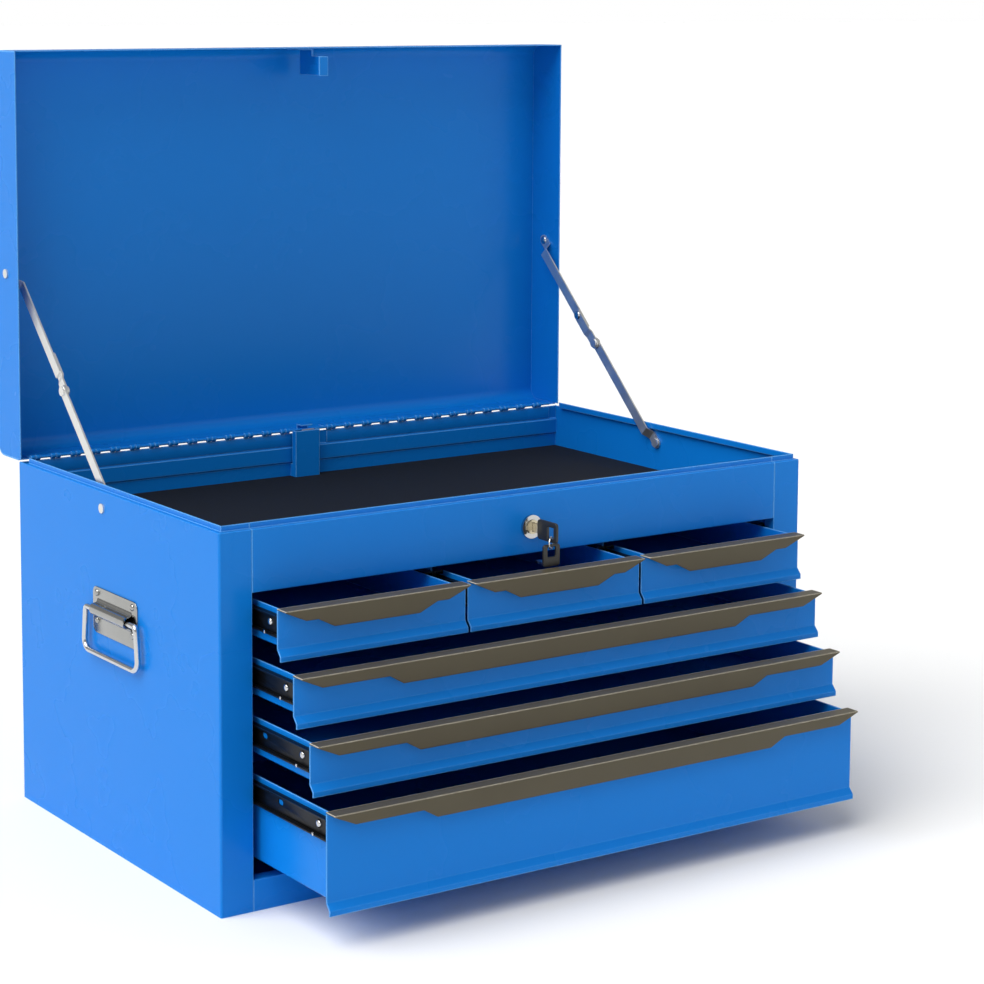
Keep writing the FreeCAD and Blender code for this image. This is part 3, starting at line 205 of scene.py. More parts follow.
def makeSlideCoat():
    # cold-rolled slide channels in black electro-coat: thin, hard and half-glossy with fine drawing lines
    kit = slideCoat
    material, tree, surface, place = startMaterial("electroCoatedSteelBlack")
    along = addNode(tree, "Mapping", {"Vector": place, "Scale": (1.0, kit["drawLong"], 1.0)})
    lines = addNode(tree, "TexNoise", {"Vector": along, "Scale": perMetre(kit["drawMm"]), "Detail": some})
    rub = {"Value": lines, "From Min": kit["rubFrom"], "From Max": kit["rubFull"],
           "To Min": 0.0, "To Max": 1.0}
    coats = {mixBy: addNode(tree, "MapRange", rub),
             mixFrom: linearColour(kit["colour"]), mixTo: linearColour(kit["drawLineToneAndNoseHighlight"])}
    gloss = {"Value": lines, "From Min": noiseLow, "From Max": noiseHigh,
             "To Min": kit["gloss"], "To Max": kit["dull"]}
    fillInputs(tree, surface, {
        "Base Color": addNode(tree, "Mix", coats, mixed, data_type="RGBA"),
        "Roughness": addNode(tree, "MapRange", gloss),
        "Normal": addNode(tree, "Bump", {"Height": lines, "Distance": kit["drawDeep"] * mm}),
        "IOR": kit["ior"],
        "Specular IOR Level": kit["shine"],
    })
    return material


matRubber = {
    "colour": "#121315",
    "light": "#18191B",
    "ior": 1.52,
    "shine": 0.2,
    "rough": 0.72,
    "dustMm": 6.0,
    "ribMm": 2.0,
    "ribDeep": 0.12,
    "ribStrength": 0.6,
}


def makeMatRubber():
    # calendered rubber sheet: near black and matt, with fine pressed ribs that catch a little light
    kit = matRubber
    material, tree, surface, place = startMaterial("calenderedRubberRibbed")
    wave = {"Vector": place, "Scale": 2 * math.pi * perMetre(kit["ribMm"]) / waveFactor}
    ribs = addNode(tree, "TexWave", wave, "Fac", bands_direction="X")
    dust = addNode(tree, "TexNoise", {"Vector": place, "Scale": perMetre(kit["dustMm"]), "Detail": many})
    sheet = {mixBy: dust, mixFrom: linearColour(kit["colour"]), mixTo: linearColour(kit["light"])}
    bumps = {"Height": ribs, "Distance": kit["ribDeep"] * mm, "Strength": kit["ribStrength"]}
    fillInputs(tree, surface, {
        "Base Color": addNode(tree, "Mix", sheet, mixed, data_type="RGBA"),
        "Roughness": kit["rough"],
        "Normal": addNode(tree, "Bump", bumps),
        "IOR": kit["ior"],
        "Specular IOR Level": kit["shine"],
    })
    return material


zincPlate = {
    "colour": "#D9DADA",
    "light": "#EBEAE6",
    "cloudMm": 14.0,
    "gloss": 0.42,
    "dull": 0.52,
    "grainMm": 0.8,
    "grainDeep": 0.004,
}


def makeZinc():
    # bright zinc plate on stamped steel strip: cool grey metal, cloudy in gloss, with the strip's fine grain
    kit = zincPlate
    material, tree, surface, place = startMaterial("brightZincPlatedSteel")
    cloud = addNode(tree, "TexNoise", {"Vector": place, "Scale": perMetre(kit["cloudMm"]), "Detail": many})
    grain = addNode(tree, "TexNoise", {"Vector": place, "Scale": perMetre(kit["grainMm"]), "Detail": some})
    plate = {mixBy: cloud, mixFrom: linearColour(kit["colour"]), mixTo: linearColour(kit["light"])}
    gloss = {"Value": cloud, "From Min": noiseLow, "From Max": noiseHigh,
             "To Min": kit["gloss"], "To Max": kit["dull"]}
    fillInputs(tree, surface, {
        "Base Color": addNode(tree, "Mix", plate, mixed, data_type="RGBA"),
        "Roughness": addNode(tree, "MapRange", gloss),
        "Normal": addNode(tree, "Bump", {"Height": grain, "Distance": kit["grainDeep"] * mm}),
        "Metallic": 1.0,
    })
    return material


platings = {  # two tones of the metal, its best gloss and its dullest
    "polishedChromePlate": ("#C6C7C8", "#D2D2D2", 0.10, 0.18),  # bails and rivets: cool and almost a mirror
    "polishedNickelPlate": ("#CFCAC0", "#DAD6CC", 0.16, 0.24),  # key blades and ring: a warmer, softer white
    "brushedChromePlate": ("#9C9D9B", "#AAAAA7", 0.12, 0.20),  # stamped handle plates: greyer than the rods
    "polishedBrassPlate": ("#B7AC8F", "#C9C0A8", 0.16, 0.26),  # face of the lock's plug: a pale worn yellow
    "dieCastChromePlate": ("#B4B5B6", "#C6C7C7", 0.10, 0.20),  # the lock's bezel: chrome over a zinc casting
}
platingCloudMm = 9.0


def makePlating(name):
    # decorative plate on a polished base: a mirror barely softened, whose gloss clouds where it was handled
    tone, light, glossy, dull = platings[name]
    material, tree, surface, place = startMaterial(name)
    cloud = addNode(tree, "TexNoise", {"Vector": place, "Scale": perMetre(platingCloudMm), "Detail": some})
    plate = {mixBy: cloud, mixFrom: linearColour(tone), mixTo: linearColour(light)}
    gloss = {"Value": cloud, "From Min": noiseLow, "From Max": noiseHigh, "To Min": glossy, "To Max": dull}
    fillInputs(tree, surface, {
        "Base Color": addNode(tree, "Mix", plate, mixed, data_type="RGBA"),
        "Roughness": addNode(tree, "MapRange", gloss),
        "Metallic": 1.0,
    })
    return material


keyPlastic = {
    "colour": "#1B1A17",
    "light": "#26241F",
    "ior": 1.53,
    "rough": 0.42,
    "grainMm": 0.5,
    "grainDeep": 0.02,
}


def makeKeyPlastic():
    # injection-moulded ABS from a spark-eroded mould: near black, with a fine even grain
    kit = keyPlastic
    material, tree, surface, place = startMaterial("mouldedAbsBlack")
    grain = addNode(tree, "TexNoise", {"Vector": place, "Scale": perMetre(kit["grainMm"]), "Detail": some})
    tones = {mixBy: grain, mixFrom: linearColour(kit["colour"]), mixTo: linearColour(kit["light"])}
    fillInputs(tree, surface, {
        "Base Color": addNode(tree, "Mix", tones, mixed, data_type="RGBA"),
        "Roughness": kit["rough"],
        "Normal": addNode(tree, "Bump", {"Height": grain, "Distance": kit["grainDeep"] * mm}),
        "IOR": kit["ior"],
    })
    return material


finishes = {
    "blue_coat": makePowderCoat(),
    "bronze_pull": makePullPaint(),
    "black_slide": makeSlideCoat(),
    "mat_rubber": makeMatRubber(),
    "zinc_steel": makeZinc(),
    "bright_chrome": makePlating("polishedChromePlate"),
    "nickel_key": makePlating("polishedNickelPlate"),
}
plateChrome = makePlating("brushedChromePlate")
keyHead = makeKeyPlastic()
ownFinish = {
    "lock_plug": makePlating("polishedBrassPlate"),
    "lock_housing": makePlating("dieCastChromePlate"),
    "hinge_pin": finishes["blue_coat"],  # sprayed with the box, so its slots show blue and daylight
    "lid_catch": finishes["blue_coat"],
}

for name, node in nodes.items():
    for held in node.material_slots:
        slotName = held.material.name.split(".")[0] if held.material else ""
        held.material = ownFinish.get(name, finishes.get(slotName, finishes["blue_coat"]))
print("materials on", len(nodes), "nodes")


# Shapes, worked out in millimetres

axisX, axisY, axisZ = Vector((1, 0, 0)), Vector((0, 1, 0)), Vector((0, 0, 1))
inMetres = Matrix.Scale(mm, 4)
hands = {"left": -1, "right": 1}
pivots = {joint["name"]: Vector(joint["pos_m"]) / mm for joint in frame["joints"]}
weld = 0.002  # points closer than this become one
sharpAngle = 35.0
rimSteps = 2


def cornersOf(node):
    return [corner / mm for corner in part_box(node)]


def placeAt(origin, across, up, out):
    turn = Matrix((across, up, out)).transposed().to_4x4()
    return inMetres @ Matrix.Translation(Vector(origin)) @ turn


def addPrism(mesh, section, place, length, finish=0):
    rings = []
    for level in (0.0, length):
        rings.append([mesh.verts.new(place @ Vector((u, v, level))) for u, v in section])
    made = [mesh.faces.new(rings[0]), mesh.faces.new(rings[1])]
    count = len(section)
    for i in range(count):
        j = (i + 1) % count
        made.append(mesh.faces.new((rings[0][i], rings[0][j], rings[1][j], rings[1][i])))
    for face in made:
        face.material_index = finish


def addTurned(mesh, profile, place, steps=20, finish=0, hollow=False):
    rings = []
    for radius, height in profile:
        if radius == 0:
            rings.append([mesh.verts.new(place @ Vector((0, 0, height)))] * steps)
            continue
        ring = []
        for i in range(steps):
            angle = 2 * math.pi * i / steps
            point = Vector((radius * math.cos(angle), radius * math.sin(angle), height))
            ring.append(mesh.verts.new(place @ point))
        rings.append(ring)
    pairs = list(zip(rings, rings[1:]))
    if hollow:
        pairs.append((rings[-1], rings[0]))
    for low, high in pairs:
        for i in range(steps):
            j = (i + 1) % steps
            corners = list(dict.fromkeys((low[i], low[j], high[j], high[i])))  # three at a point
            mesh.faces.new(corners).material_index = finish
    if not hollow:
        for ring in (rings[0], rings[-1]):
            if len(set(ring)) > 1:
                mesh.faces.new(ring).material_index = finish


def addTube(mesh, path, radius, place, sides):
    points = [Vector(p) for p in path]
    count = len(points)
    rings = []
    side = None
    for i, point in enumerate(points):
        before = points[max(i - 1, 0)]
        after = points[min(i + 1, count - 1)]
        ahead = (after - before).normalized()
        if side is None:
            side = ahead.orthogonal().normalized()
        side = (side - ahead * side.dot(ahead)).normalized()
        across = ahead.cross(side)
        ring = []
        for k in range(sides):
            angle = 2 * math.pi * k / sides
            offset = side * math.cos(angle) + across * math.sin(angle)
            ring.append(mesh.verts.new(place @ (point + offset * radius)))
        rings.append(ring)
    for low, high in zip(rings, rings[1:]):
        for k in range(sides):
            n = (k + 1) % sides
            mesh.faces.new((low[k], low[n], high[n], high[k]))
    mesh.faces.new(rings[0])
    mesh.faces.new(rings[-1])


def roundedRect(left, low, right, high, radius, steps=6):
    points = []
    corners = ((right, high, 0), (left, high, 90), (left, low, 180), (right, low, 270))
    for x, y, first in corners:
        centreX = x - radius if x == right else x + radius
        centreY = y - radius if y == high else y + radius
        for i in range(steps + 1):
            angle = math.radians(first + 90 * i / steps)
            points.append((centreX + radius * math.cos(angle), centreY + radius * math.sin(angle)))
    return points


def plainRect(left, low, right, high):
    return [(left, low), (right, low), (right, high), (left, high)]


def domeProfile(radius, rise, steps=5):
    points = [(radius, 0.0)]
    for i in range(1, steps):
        angle = math.pi / 2 * i / steps
        points.append((radius * math.cos(angle), rise * math.sin(angle)))
    points.append((0, rise))
    return points


def addPlate(mesh, outlines, thick, edge, place):
    # a filled curve gives the plate its holes and a rounded rim in one go
    curve = bpy.data.curves.new("plateOutline", "CURVE")
    curve.dimensions = "2D"
    curve.fill_mode = "BOTH"
    curve.extrude = thick / 2 - edge
    curve.bevel_depth = edge
    curve.bevel_resolution = rimSteps
    curve.offset = -edge
    for outline in outlines:
        line = curve.splines.new("POLY")
        line.points.add(len(outline) - 1)
        for point, (u, v) in zip(line.points, outline):
            point.co = (u, v, 0, 1)
        line.use_cyclic_u = True
    holder = bpy.data.objects.new("plateOutline", curve)
    bpy.context.scene.collection.objects.link(holder)
    graph = bpy.context.evaluated_depsgraph_get()
    graph.update()
    flat = bpy.data.meshes.new_from_object(holder.evaluated_get(graph))
    middle = Vector((0, 0, thick / 2))
    corners = [mesh.verts.new(place @ (v.co + middle)) for v in flat.vertices]
    for polygon in flat.polygons:
        mesh.faces.new([corners[i] for i in polygon.vertices])
    bpy.data.objects.remove(holder)
    bpy.data.curves.remove(curve)
    bpy.data.meshes.remove(flat)


def finishPiece(mesh, name, body, materials, replaced=()):
    bmesh.ops.remove_doubles(mesh, verts=mesh.verts, dist=weld * mm)
    bmesh.ops.recalc_face_normals(mesh, faces=mesh.faces)
    data = bpy.data.meshes.new(name)
    mesh.to_mesh(data)
    mesh.free()
    for material in materials:
        data.materials.append(material)
    data.shade_smooth()
    data.set_sharp_from_angle(angle=math.radians(sharpAngle))
    piece = bpy.data.objects.new(name, data)
    bpy.context.scene.collection.objects.link(piece)
    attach(piece, body)
    if replaced:
        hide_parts(*replaced)


pianoHinge = {
    "radius": 2.4,
    "bore": 1.28,
    "break": 0.35,  # rounding of each knuckle's rims
    "bareFrom": -8.5,  # the pin lies bare behind the lock bar's cover
    "bareTo": 23.0,
    "pairs": (14, 13),  # knuckles of body and lid, left and right of there, some 20 mm a pair
    "parts": 4,  # a body knuckle, a lid knuckle and twice that length of bare pin, which shows as a slot
    "gap": 0.4,
    "leaf": 0.8,
    "leafWide": 12.0,
    "leafRound": 0.3,
    "leafSteps": 2,
    "leafAway": 0.5,  # from the pin's middle to a leaf's outer face
    "tailNear": 1.6,  # the tongue that joins a leaf to its knuckle starts inside the knuckle's wall
    "tailLap": 0.5,
}


def makeHinge():
    kit = pianoHinge
    pin = pivots["lid_hinge"]
    low, high = cornersOf("body_hinge_leaf")
    lidEnd = cornersOf("lid_hinge_leaf")[1].y
    backY = pin.y + kit["leafAway"]
    frontY = backY - kit["leaf"]
    lowZ = pin.z - kit["leafAway"]
    highZ = lowZ + kit["leaf"]
    bodyTop = low.z + kit["leafWide"]
    lidFoot = lidEnd - kit["leafWide"]
    runs = ((low.x, kit["bareFrom"], kit["pairs"][0]), (kit["bareTo"], high.x, kit["pairs"][1]))
    halves = {
        "bodyHinge": {
            "body": "cabinet",
            "node": "body_hinge_leaf",
            "part": 0,
            "leaf": (frontY, low.z, backY, bodyTop),
            "tail": (frontY, bodyTop - kit["tailLap"], backY, pin.z - kit["tailNear"]),
        },
        "lidHinge": {
            "body": "lid",
            "node": "lid_hinge_leaf",
            "part": 1,
            "leaf": (lidFoot, lowZ, lidEnd, highZ),
            "tail": (pin.y + kit["tailNear"], lowZ, lidFoot + kit["tailLap"], highZ),
        },
    }
    rim = kit["radius"] - kit["break"]
    for name, half in halves.items():
        mesh = bmesh.new()
        for start, end, pairs in runs:
            pitch = (end - start) / pairs
            length = pitch / kit["parts"] - kit["gap"]
            profile = [
                (kit["bore"], 0), (rim, 0), (kit["radius"], kit["break"]),
                (kit["radius"], length - kit["break"]), (rim, length), (kit["bore"], length),
            ]
            leaf = roundedRect(*half["leaf"], kit["leafRound"], kit["leafSteps"])
            addPrism(mesh, leaf, placeAt((start, 0, 0), axisY, axisZ, axisX), end - start)
            for i in range(pairs):
                x = start + i * pitch + half["part"] * pitch / kit["parts"]
                knuckle = placeAt((x, pin.y, pin.z), axisY, axisZ, axisX)
                addTurned(mesh, profile, knuckle, hollow=True)
                tail = placeAt((x, 0, 0), axisY, axisZ, axisX)
                addPrism(mesh, plainRect(*half["tail"]), tail, length)
        finishPiece(mesh, name, half["body"], [finishes["blue_coat"]], [half["node"]])
    print("piano hinge")


handleKit = {
    "rodRadius": 2.5,
    "rodSides": 20,
    "pinEnd": 26.5,  # from the plate's middle, where the rod ends inside the bridge
    "straightEnd": 40.5,
    "topBend": 4.0,
    "topSteps": 5,
    "footBend": 9.0,
    "footSteps": 9,
    "half": 49.0,  # half the bail's width at its foot
    "drop": 37.5,
    "flare": 6.0,  # degrees by which the bail's arms spread
    "plateThick": 1.2,
    "plateEdge": 0.35,
    "plateRound": 6.0,
    "barrelHalf": 31.0,
    "rivetAcross": 32.5,
    "rivetLevels": (13.5, -10.5),
    "rivetRadius": 3.1,
    "rivetRise": 1.9,
}
barrelOuter = [  # the pressed bridge over the rod: out from the wall, up from the pivot
    (0.6, 9.6), (1.7, 8.6), (2.1, 7.4), (2.6, 6.2), (3.6, 5.5), (5.2, 5.5), (6.8, 5.2), (8.2, 4.3),
    (9.1, 3.0), (9.5, 1.4), (9.5, -0.2), (9.1, -1.9), (8.2, -3.3), (6.8, -4.2), (5.2, -4.5), (3.6, -4.5),
    (2.6, -5.2), (2.1, -6.4), (1.7, -7.6), (0.6, -8.6),
]
barrelInner = [
    (0.6, -7.0), (1.4, -5.4), (2.4, -3.9), (5.2, -3.4), (7.0, -2.6), (8.0, -1.0), (8.4, 0.6), (8.0, 2.2),
    (7.0, 3.6), (5.2, 4.4), (2.4, 4.9), (1.4, 6.4), (0.6, 8.0),
]


def bailPath(pivot):
    kit = handleKit
    lean = math.tan(math.radians(kit["flare"]))
    topHalf = kit["half"] - lean * (kit["drop"] - kit["footBend"] - kit["topBend"])
    topCentre = (topHalf - kit["topBend"], pivot.z - kit["topBend"])
    footCentre = (kit["half"] - kit["footBend"], pivot.z - kit["drop"] + kit["footBend"])
    bends = (  # centre, radius, first and last angle, steps
        (topCentre, kit["topBend"], 90.0, kit["flare"], kit["topSteps"]),
        (footCentre, kit["footBend"], kit["flare"], -90.0, kit["footSteps"]),
    )
    half = [(kit["pinEnd"], pivot.z), (kit["straightEnd"], pivot.z)]
    for (centreY, centreZ), radius, first, last, steps in bends:
        for i in range(steps + 1):
            angle = math.radians(first + (last - first) * i / steps)
            half.append((centreY + radius * math.cos(angle), centreZ + radius * math.sin(angle)))
    front = [(pivot.x, pivot.y - y, z) for y, z in half]
    return front + [(pivot.x, pivot.y + y, z) for y, z in reversed(half)]


def makeBail(side):
    mesh = bmesh.new()
    path = bailPath(pivots[f"bail_{side}_swing"])
    addTube(mesh, path, handleKit["rodRadius"], inMetres, handleKit["rodSides"])
    chrome = finishes["bright_chrome"]
    finishPiece(mesh, side + "Bail", f"bail_{side}_body", [chrome], [f"bail_{side}"])


def makeHandlePlate(side, hand):
    kit = handleKit
    mesh = bmesh.new()
    node = f"handle_plate_{side}"
    low, high = cornersOf(node)
    pivot = pivots[f"bail_{side}_swing"]
    outward = axisX * hand
    wall = outward * min(abs(low.x), abs(high.x))
    outline = roundedRect(low.y, low.z, high.y, high.z, kit["plateRound"])
    addPlate(mesh, [outline], kit["plateThick"], kit["plateEdge"], placeAt(wall, axisY, axisZ, outward))
    section = [(out, level + pivot.z) for out, level in barrelOuter + barrelInner]
    barrelFront = wall + axisY * (pivot.y - kit["barrelHalf"])
    addPrism(mesh, section, placeAt(barrelFront, outward, axisZ, axisY), 2 * kit["barrelHalf"])
    rivet = domeProfile(kit["rivetRadius"], kit["rivetRise"])
    for across in (-kit["rivetAcross"], kit["rivetAcross"]):
        for level in kit["rivetLevels"]:
            seat = wall + Vector((hand * kit["plateThick"], pivot.y + across, pivot.z + level))
            addTurned(mesh, rivet, placeAt(seat, axisY, axisZ, outward))
    finishPiece(mesh, side + "HandlePlate", "cabinet", [plateChrome], [node])


def makeHandles():
    for side, hand in hands.items():
        makeBail(side)
        makeHandlePlate(side, hand)
    print("carrying handles")


stayKit = {
    "elbowRivet": 161.0,  # along the stay, from its lower end
    "elbowIn": 11.0,
    "lidIn": 1.25,
    "radius": 4.2,
    "rise": 1.6,
    "sides": 24,
}


def makeStayRivets():
    kit = stayKit
    head = domeProfile(kit["radius"], kit["rise"])
    for side, hand in hands.items():
        low, high = pivots[f"stay_lower_{side}"], pivots[f"stay_upper_{side}"]
        inward = axisX * -hand
        elbow = low.lerp(high, kit["elbowRivet"] / (high - low).length)
        rivets = {
            "ElbowRivet": {"body": f"upper_link_{side}", "seat": elbow + inward * kit["elbowIn"]},
            "LidRivetInside": {"body": "lid", "seat": high + inward * kit["lidIn"]},
        }
        for name, rivet in rivets.items():
            mesh = bmesh.new()
            addTurned(mesh, head, placeAt(rivet["seat"], axisY, axisZ, inward), kit["sides"])
            finishPiece(mesh, side + name, rivet["body"], [finishes["bright_chrome"]])
    print("stay rivets")


slideKit = {
    "drawers": 6,
    "thick": 1.2,
    "half": 8.5,
    "reach": 5.5,
    "webRound": 1.0,
    "webSteps": 2,
    "webEdge": 0.15,
    "screwBack": 15.7,
    "screwRise": 1.0,
    "screwSides": 20,
    "tabBack": 18.5,
    "tabRise": -7.4,
    "tabIn": 5.4,
    "tabSides": 14,
    "holeBack": (70.0, 150.0, 230.0, 300.0),
    "holeLong": 8.0,
    "holeTall": 4.6,
    "holeRise": 1.5,
    "holeFlat": 0.05,  # keeps a hole's round ends just apart
    "holeSteps": 4,
}
slideFlange = [  # the rolled channel lip: out from the tray, up from the slide's middle
    (0.0, 7.3), (2.0, 7.3), (3.0, 6.9), (4.2, 6.9), (5.0, 7.4), (5.5, 7.4),
    (5.5, 8.5), (4.8, 8.5), (4.0, 8.0), (3.2, 8.0), (2.4, 8.5), (0.6, 8.5), (0.0, 8.1),
]
screwProfile = [(3.4, 0.0), (3.4, 0.5), (3.0, 1.3), (2.2, 1.9), (1.1, 2.2), (0, 2.3)]
tabProfile = [(1.5, 0.0), (1.5, 0.5), (1.1, 0.8), (0, 0.9)]


def makeSlide(number):
    kit = slideKit
    low, high = cornersOf(f"drawer_{number}_slides")
    length = high.y - low.y
    outlines = [roundedRect(0, -kit["half"], length, kit["half"], kit["webRound"], kit["webSteps"])]
    tall = kit["holeTall"] / 2
    for back in kit["holeBack"]:
        ends = (back, kit["holeRise"] - tall, back + kit["holeLong"], kit["holeRise"] + tall)
        outlines.append(roundedRect(*ends, tall - kit["holeFlat"], kit["holeSteps"]))
    mesh = bmesh.new()
    for hand, side in ((-1, low.x), (1, high.x)):
        seat = Vector((side - hand * kit["reach"], low.y, (low.z + high.z) / 2))
        outward = axisX * hand
        addPlate(mesh, outlines, kit["thick"], kit["webEdge"], placeAt(seat, axisY, axisZ, outward))
        for flip in (1, -1):
            section = [(out, flip * rise) for out, rise in slideFlange]
            addPrism(mesh, section, placeAt(seat, outward, axisZ, axisY), length)
        screw = seat + Vector((hand * kit["thick"], kit["screwBack"], kit["screwRise"]))
        addTurned(mesh, screwProfile, placeAt(screw, axisY, axisZ, outward), kit["screwSides"], 1)
        tab = seat + Vector((hand * kit["tabIn"], kit["tabBack"], kit["tabRise"]))
        addTurned(mesh, tabProfile, placeAt(tab, axisY, axisZ, outward), kit["tabSides"], 1)
    materials = [finishes["black_slide"], finishes["bright_chrome"]]
    replaced = [f"drawer_{number}_slides"]
    finishPiece(mesh, f"drawer{number}Slides", f"drawer_{number}", materials, replaced)


ballKit = {
    "radius": 1.75,
    "level": 10.4,  # above and below the slide's middle
    "out": 3.6,  # from the tray's side
    "pitch": 16.0,
    "first": 4.0,
    "splits": 2,  # of an icosahedron's faces, which rounds a ball well enough
}


def makeBalls(number):
    kit = ballKit
    slideLow, slideHigh = cornersOf(f"drawer_{number}_slides")
    low, high = cornersOf(f"drawer_{number}_ball_cages")
    middle = (low.z + high.z) / 2
    count = int((high.y - low.y) // kit["pitch"])
    sides = ((-1, slideLow.x + slideKit["reach"]), (1, slideHigh.x - slideKit["reach"]))
    mesh = bmesh.new()
    for hand, tray in sides:
        for i in range(count):
            y = low.y + (i + 0.5) * kit["pitch"] + kit["first"]
            for flip in (-1, 1):
                centre = Vector((tray + hand * kit["out"], y, middle + flip * kit["level"]))
                ball = {"subdivisions": kit["splits"], "radius": kit["radius"] * mm}
                bmesh.ops.create_icosphere(mesh, matrix=Matrix.Translation(centre * mm), **ball)
    finishPiece(mesh, f"drawer{number}Balls", f"cages_{number}", [finishes["bright_chrome"]])


def makeSlides():
    for number in range(1, slideKit["drawers"] + 1):
        makeSlide(number)
        makeBalls(number)
    print("drawer slides and balls")


keyKit = {
    "headLong": 27.0,
    "headThick": 2.4,
    "headRound": 3.2,
    "edge": 0.7,
    "slotNear": 4.6,  # from the head's front edge
    "slotFar": 12.7,
    "slotBelow": 5.3,  # from the blade's middle
    "slotAbove": 4.1,
    "slotRound": 0.5,
    "slotSteps": 3,
    "bladeIn": 2.0,  # the blade starts this far inside the moulded head
    "bladeHalf": 3.8,
    "bladeThick": 2.0,
    "tipDrop": 1.9,
    "tipLong": 1.8,
}
bladeCuts = [  # share of the blade's length, depth of the cut
    (0.0, 0.0), (0.18, 0.0), (0.26, 0.9), (0.34, 0.9), (0.42, 0.3), (0.52, 1.3), (0.60, 1.3), (0.70, 0.5),
    (0.80, 1.0), (0.9, 1.0), (1.0, 1.9),
]


def bladeOutline(start, end, centre):
    kit = keyKit
    low, high = centre - kit["bladeHalf"], centre + kit["bladeHalf"]
    cuts = [(start + (end - start) * share, low + cut) for share, cut in bladeCuts]
    return cuts + [(end, high - kit["tipDrop"]), (end - kit["tipLong"], high), (start, high)]


def makeFirstKey():
    kit = keyKit
    mesh = bmesh.new()
    low, high = cornersOf("key")
    level = pivots["lock_turn"].z
    headBack = low.y + kit["headLong"]
    head = roundedRect(low.y, low.z, headBack, high.z, kit["headRound"])
    near, far = low.y + kit["slotNear"], low.y + kit["slotFar"]
    foot, top = level - kit["slotBelow"], level + kit["slotAbove"]
    slot = roundedRect(near, foot, far, top, kit["slotRound"], kit["slotSteps"])
    upright = placeAt((-kit["headThick"] / 2, 0, 0), axisY, axisZ, axisX)
    addPlate(mesh, [head, slot], kit["headThick"], kit["edge"], upright)
    blade = bladeOutline(headBack - kit["bladeIn"], high.y, level)
    edgeOn = placeAt((-kit["bladeThick"] / 2, 0, 0), axisY, axisZ, axisX)
    addPrism(mesh, blade, edgeOn, kit["bladeThick"], 1)
    finishPiece(mesh, "firstKey", "plug", [keyHead, finishes["nickel_key"]], ["key"])


spareKit = {  # levels are below the ring's hold on the first key
    "top": 2.7,
    "foot": 21.55,
    "round": 2.6,
    "slotTop": 4.9,
    "slotFoot": 13.3,
    "slotHalf": 4.2,
    "slotRound": 1.2,
    "slotSteps": 4,
    "bladeIn": 0.8,
}


def makeSpareKey():
    kit = spareKit
    mesh = bmesh.new()
    low, high = cornersOf("spare_key")
    hang = pivots["ring_hang"].z
    foot = hang - kit["foot"]
    thick = keyKit["headThick"]
    head = roundedRect(low.x, foot, high.x, hang - kit["top"], kit["round"])
    corners = (-kit["slotHalf"], hang - kit["slotFoot"], kit["slotHalf"], hang - kit["slotTop"])
    slot = roundedRect(*corners, kit["slotRound"], kit["slotSteps"])
    back = low.y + thick
    addPlate(mesh, [head, slot], thick, keyKit["edge"], placeAt((0, back, 0), axisX, axisZ, -axisY))
    blade = bladeOutline(back - kit["bladeIn"], high.y, 0.0)
    lying = placeAt((0, 0, foot), axisY, axisX, axisZ)
    addPrism(mesh, blade, lying, keyKit["bladeThick"], 1)
    finishPiece(mesh, "spareKey", "ring", [keyHead, finishes["nickel_key"]], ["spare_key"])


ringKit = {
    "radius": 5.35,
    "wire": 0.42,
    "wireSides": 10,
    "turn": 35.0,
    "below": 1.8,  # the ring's middle hangs this far under its hold
    "coils": 2,
    "rise": 1.8,  # wire thicknesses from one coil to the next
    "steps": 76,
}


def makeSplitRing():
    kit = ringKit
    mesh = bmesh.new()
    turn = math.radians(kit["turn"])
    across = Vector((math.cos(turn), math.sin(turn), 0))
    through = Vector((math.sin(turn), -math.cos(turn), 0))
    centre = pivots["ring_hang"] - axisZ * kit["below"]
    path = []
    for i in range(kit["steps"] + 1):
        share = i / kit["steps"]
        angle = 2 * math.pi * kit["coils"] * share
        spoke = across * math.sin(angle) + axisZ * math.cos(angle)
        lift = (share - 0.5) * kit["rise"] * kit["wire"]
        path.append(centre + spoke * kit["radius"] + through * lift)
    addTube(mesh, path, kit["wire"], inMetres, kit["wireSides"])
    finishPiece(mesh, "splitRing", "ring", [finishes["nickel_key"]], ["key_ring"])


def makeKeys():
    makeFirstKey()
    makeSpareKey()
    makeSplitRing()
    print("keys and ring")


makeHinge()
makeHandles()
makeStayRivets()
makeSlides()
makeKeys()


# Stage, light and camera

stageKit = {
    "half": 70.0,  # metres, so that the floor reaches the horizon
    "colour": "#FAFAF9",
    "fleck": "#FCFCFB",
    "fleckMm": 3.0,
    "ior": 1.45,
    "rough": 0.9,
}


def makeStage():
    # matt white paper floor: no gloss, so the floor runs on to the horizon without a line
    kit = stageKit
    mesh = bmesh.new()
    half = kit["half"]
    corners = [(x, y, 0) for x, y in plainRect(-half, -half, half, half)]
    mesh.faces.new([mesh.verts.new(corner) for corner in corners])
    data = bpy.data.meshes.new("studioFloor")
    mesh.to_mesh(data)
    mesh.free()
    floor = bpy.data.objects.new("studioFloor", data)
    bpy.context.scene.collection.objects.link(floor)
    material, tree, surface, place = startMaterial("mattWhitePaper")
    fleck = addNode(tree, "TexNoise", {"Vector": place, "Scale": perMetre(kit["fleckMm"]), "Detail": some})
    paper = {mixBy: fleck, mixFrom: linearColour(kit["colour"]), mixTo: linearColour(kit["fleck"])}
    base = addNode(tree, "Mix", paper, mixed, data_type="RGBA")
    fillInputs(tree, surface, {"Base Color": base, "Roughness": kit["rough"], "IOR": kit["ior"]})
    data.materials.append(material)
    print("stage")


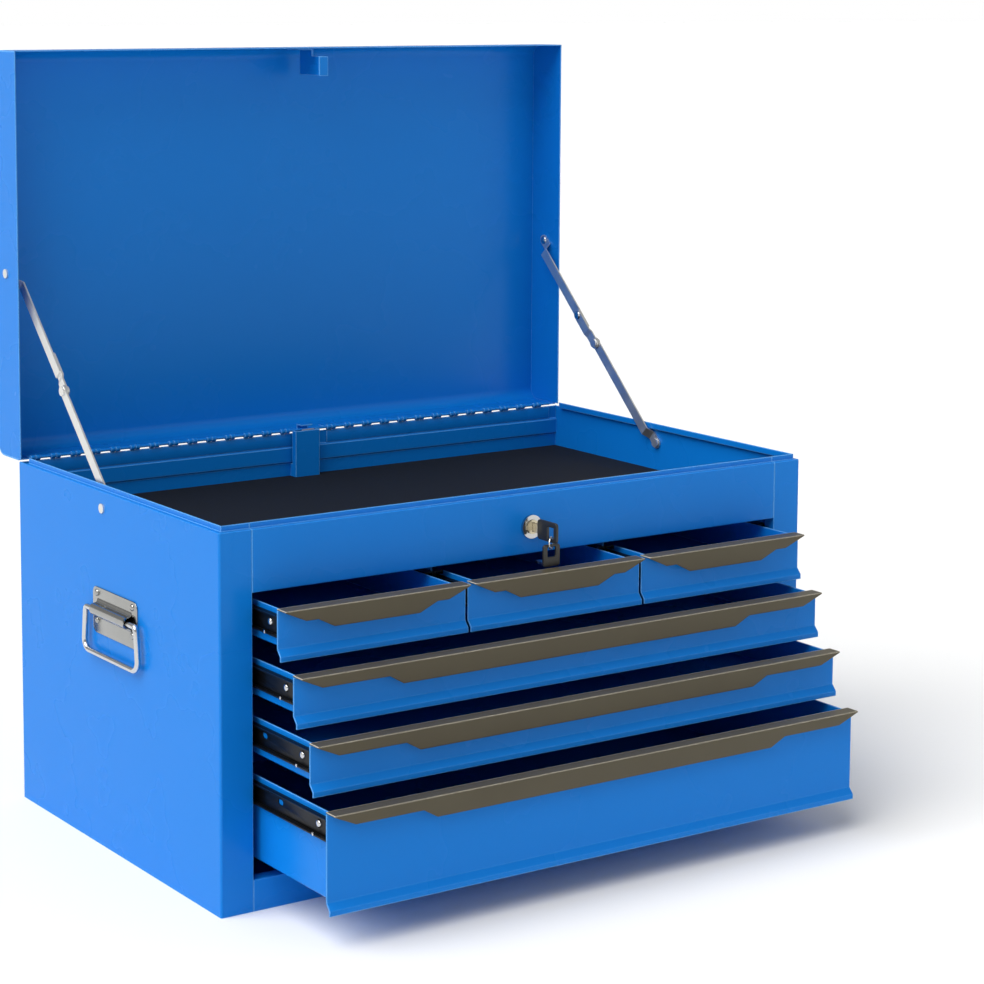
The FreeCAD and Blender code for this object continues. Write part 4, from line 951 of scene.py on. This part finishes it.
lightKit = {
    "sky": 0.38,
    "horizon": 1.0,
    "horizonUpTo": 0.04,  # heights of the view direction between which the horizon fades to the sky
    "skyFrom": 0.16,
    "keyStrength": 3.05,
    "keyAngle": 60.0,  # a wide sun, as soft as a large window
    "keyFrom": (-0.63, -0.05, 0.77),
    "stripFrom": (0.533, -0.80, 0.34),
    "stripAway": 3.2,
    "stripSize": (3.2, 0.34),
    "stripPower": 5.0,
    "stripAim": (0, 0, 0.35),
}


def addLamp(name, kind, fromWhere, power):
    light = bpy.data.lights.new(name, kind)
    light.energy = power
    lamp = bpy.data.objects.new(name, light)
    lamp.rotation_euler = Vector(fromWhere).to_track_quat("Z", "Y").to_euler()
    bpy.context.scene.collection.objects.link(lamp)
    return lamp


def makeLight():
    kit = lightKit
    scene = bpy.context.scene
    world = bpy.data.worlds.new("studioSky")
    scene.world = world
    world.use_nodes = True
    tree = world.node_tree
    ahead = addNode(tree, "TexCoord", output="Generated")
    fade = {
        "Value": addNode(tree, "SeparateXYZ", {"Vector": ahead}, "Z"),
        "From Min": kit["horizonUpTo"], "From Max": kit["skyFrom"],
        "To Min": kit["horizon"], "To Max": kit["sky"],
    }
    brightness = addNode(tree, "MapRange", fade)
    fillInputs(tree, tree.nodes["Background"], {"Strength": brightness, "Color": linearColour("#FFFFFF")})
    key = addLamp("keyLight", "SUN", kit["keyFrom"], kit["keyStrength"])
    key.data.angle = math.radians(kit["keyAngle"])
    toward = Vector(kit["stripFrom"]).normalized()
    strip = addLamp("stripLight", "AREA", toward, kit["stripPower"])
    strip.location = Vector(kit["stripAim"]) + toward * kit["stripAway"]
    strip.data.shape = "RECTANGLE"
    strip.data.size, strip.data.size_y = kit["stripSize"]
    scene.view_settings.view_transform = "Standard"
    print("light")


cameraKit = {
    "target": (-0.17016, -0.183, 0.49243),
    "distance": 2.00908,
    "azimuth": -32.42,
    "elevation": 6.49,
    "lens": 92.39,
    "sensor": 36.0,
    "shiftX": 0.1342,
    "shiftY": -0.2054,
}


def makeCamera():
    kit = cameraKit
    turn, rise = math.radians(kit["azimuth"]), math.radians(kit["elevation"])
    back = Vector((math.sin(turn) * math.cos(rise), -math.cos(turn) * math.cos(rise), math.sin(rise)))
    data = bpy.data.cameras.new("photoCamera")
    data.sensor_width = kit["sensor"]
    data.lens = kit["lens"]
    data.shift_x, data.shift_y = kit["shiftX"], kit["shiftY"]
    camera = bpy.data.objects.new("photoCamera", data)
    camera.location = Vector(kit["target"]) + kit["distance"] * back
    camera.rotation_euler = back.to_track_quat("Z", "Y").to_euler()
    bpy.context.scene.collection.objects.link(camera)
    bpy.context.scene.camera = camera
    print("camera")


makeStage()
makeLight()
makeCamera()
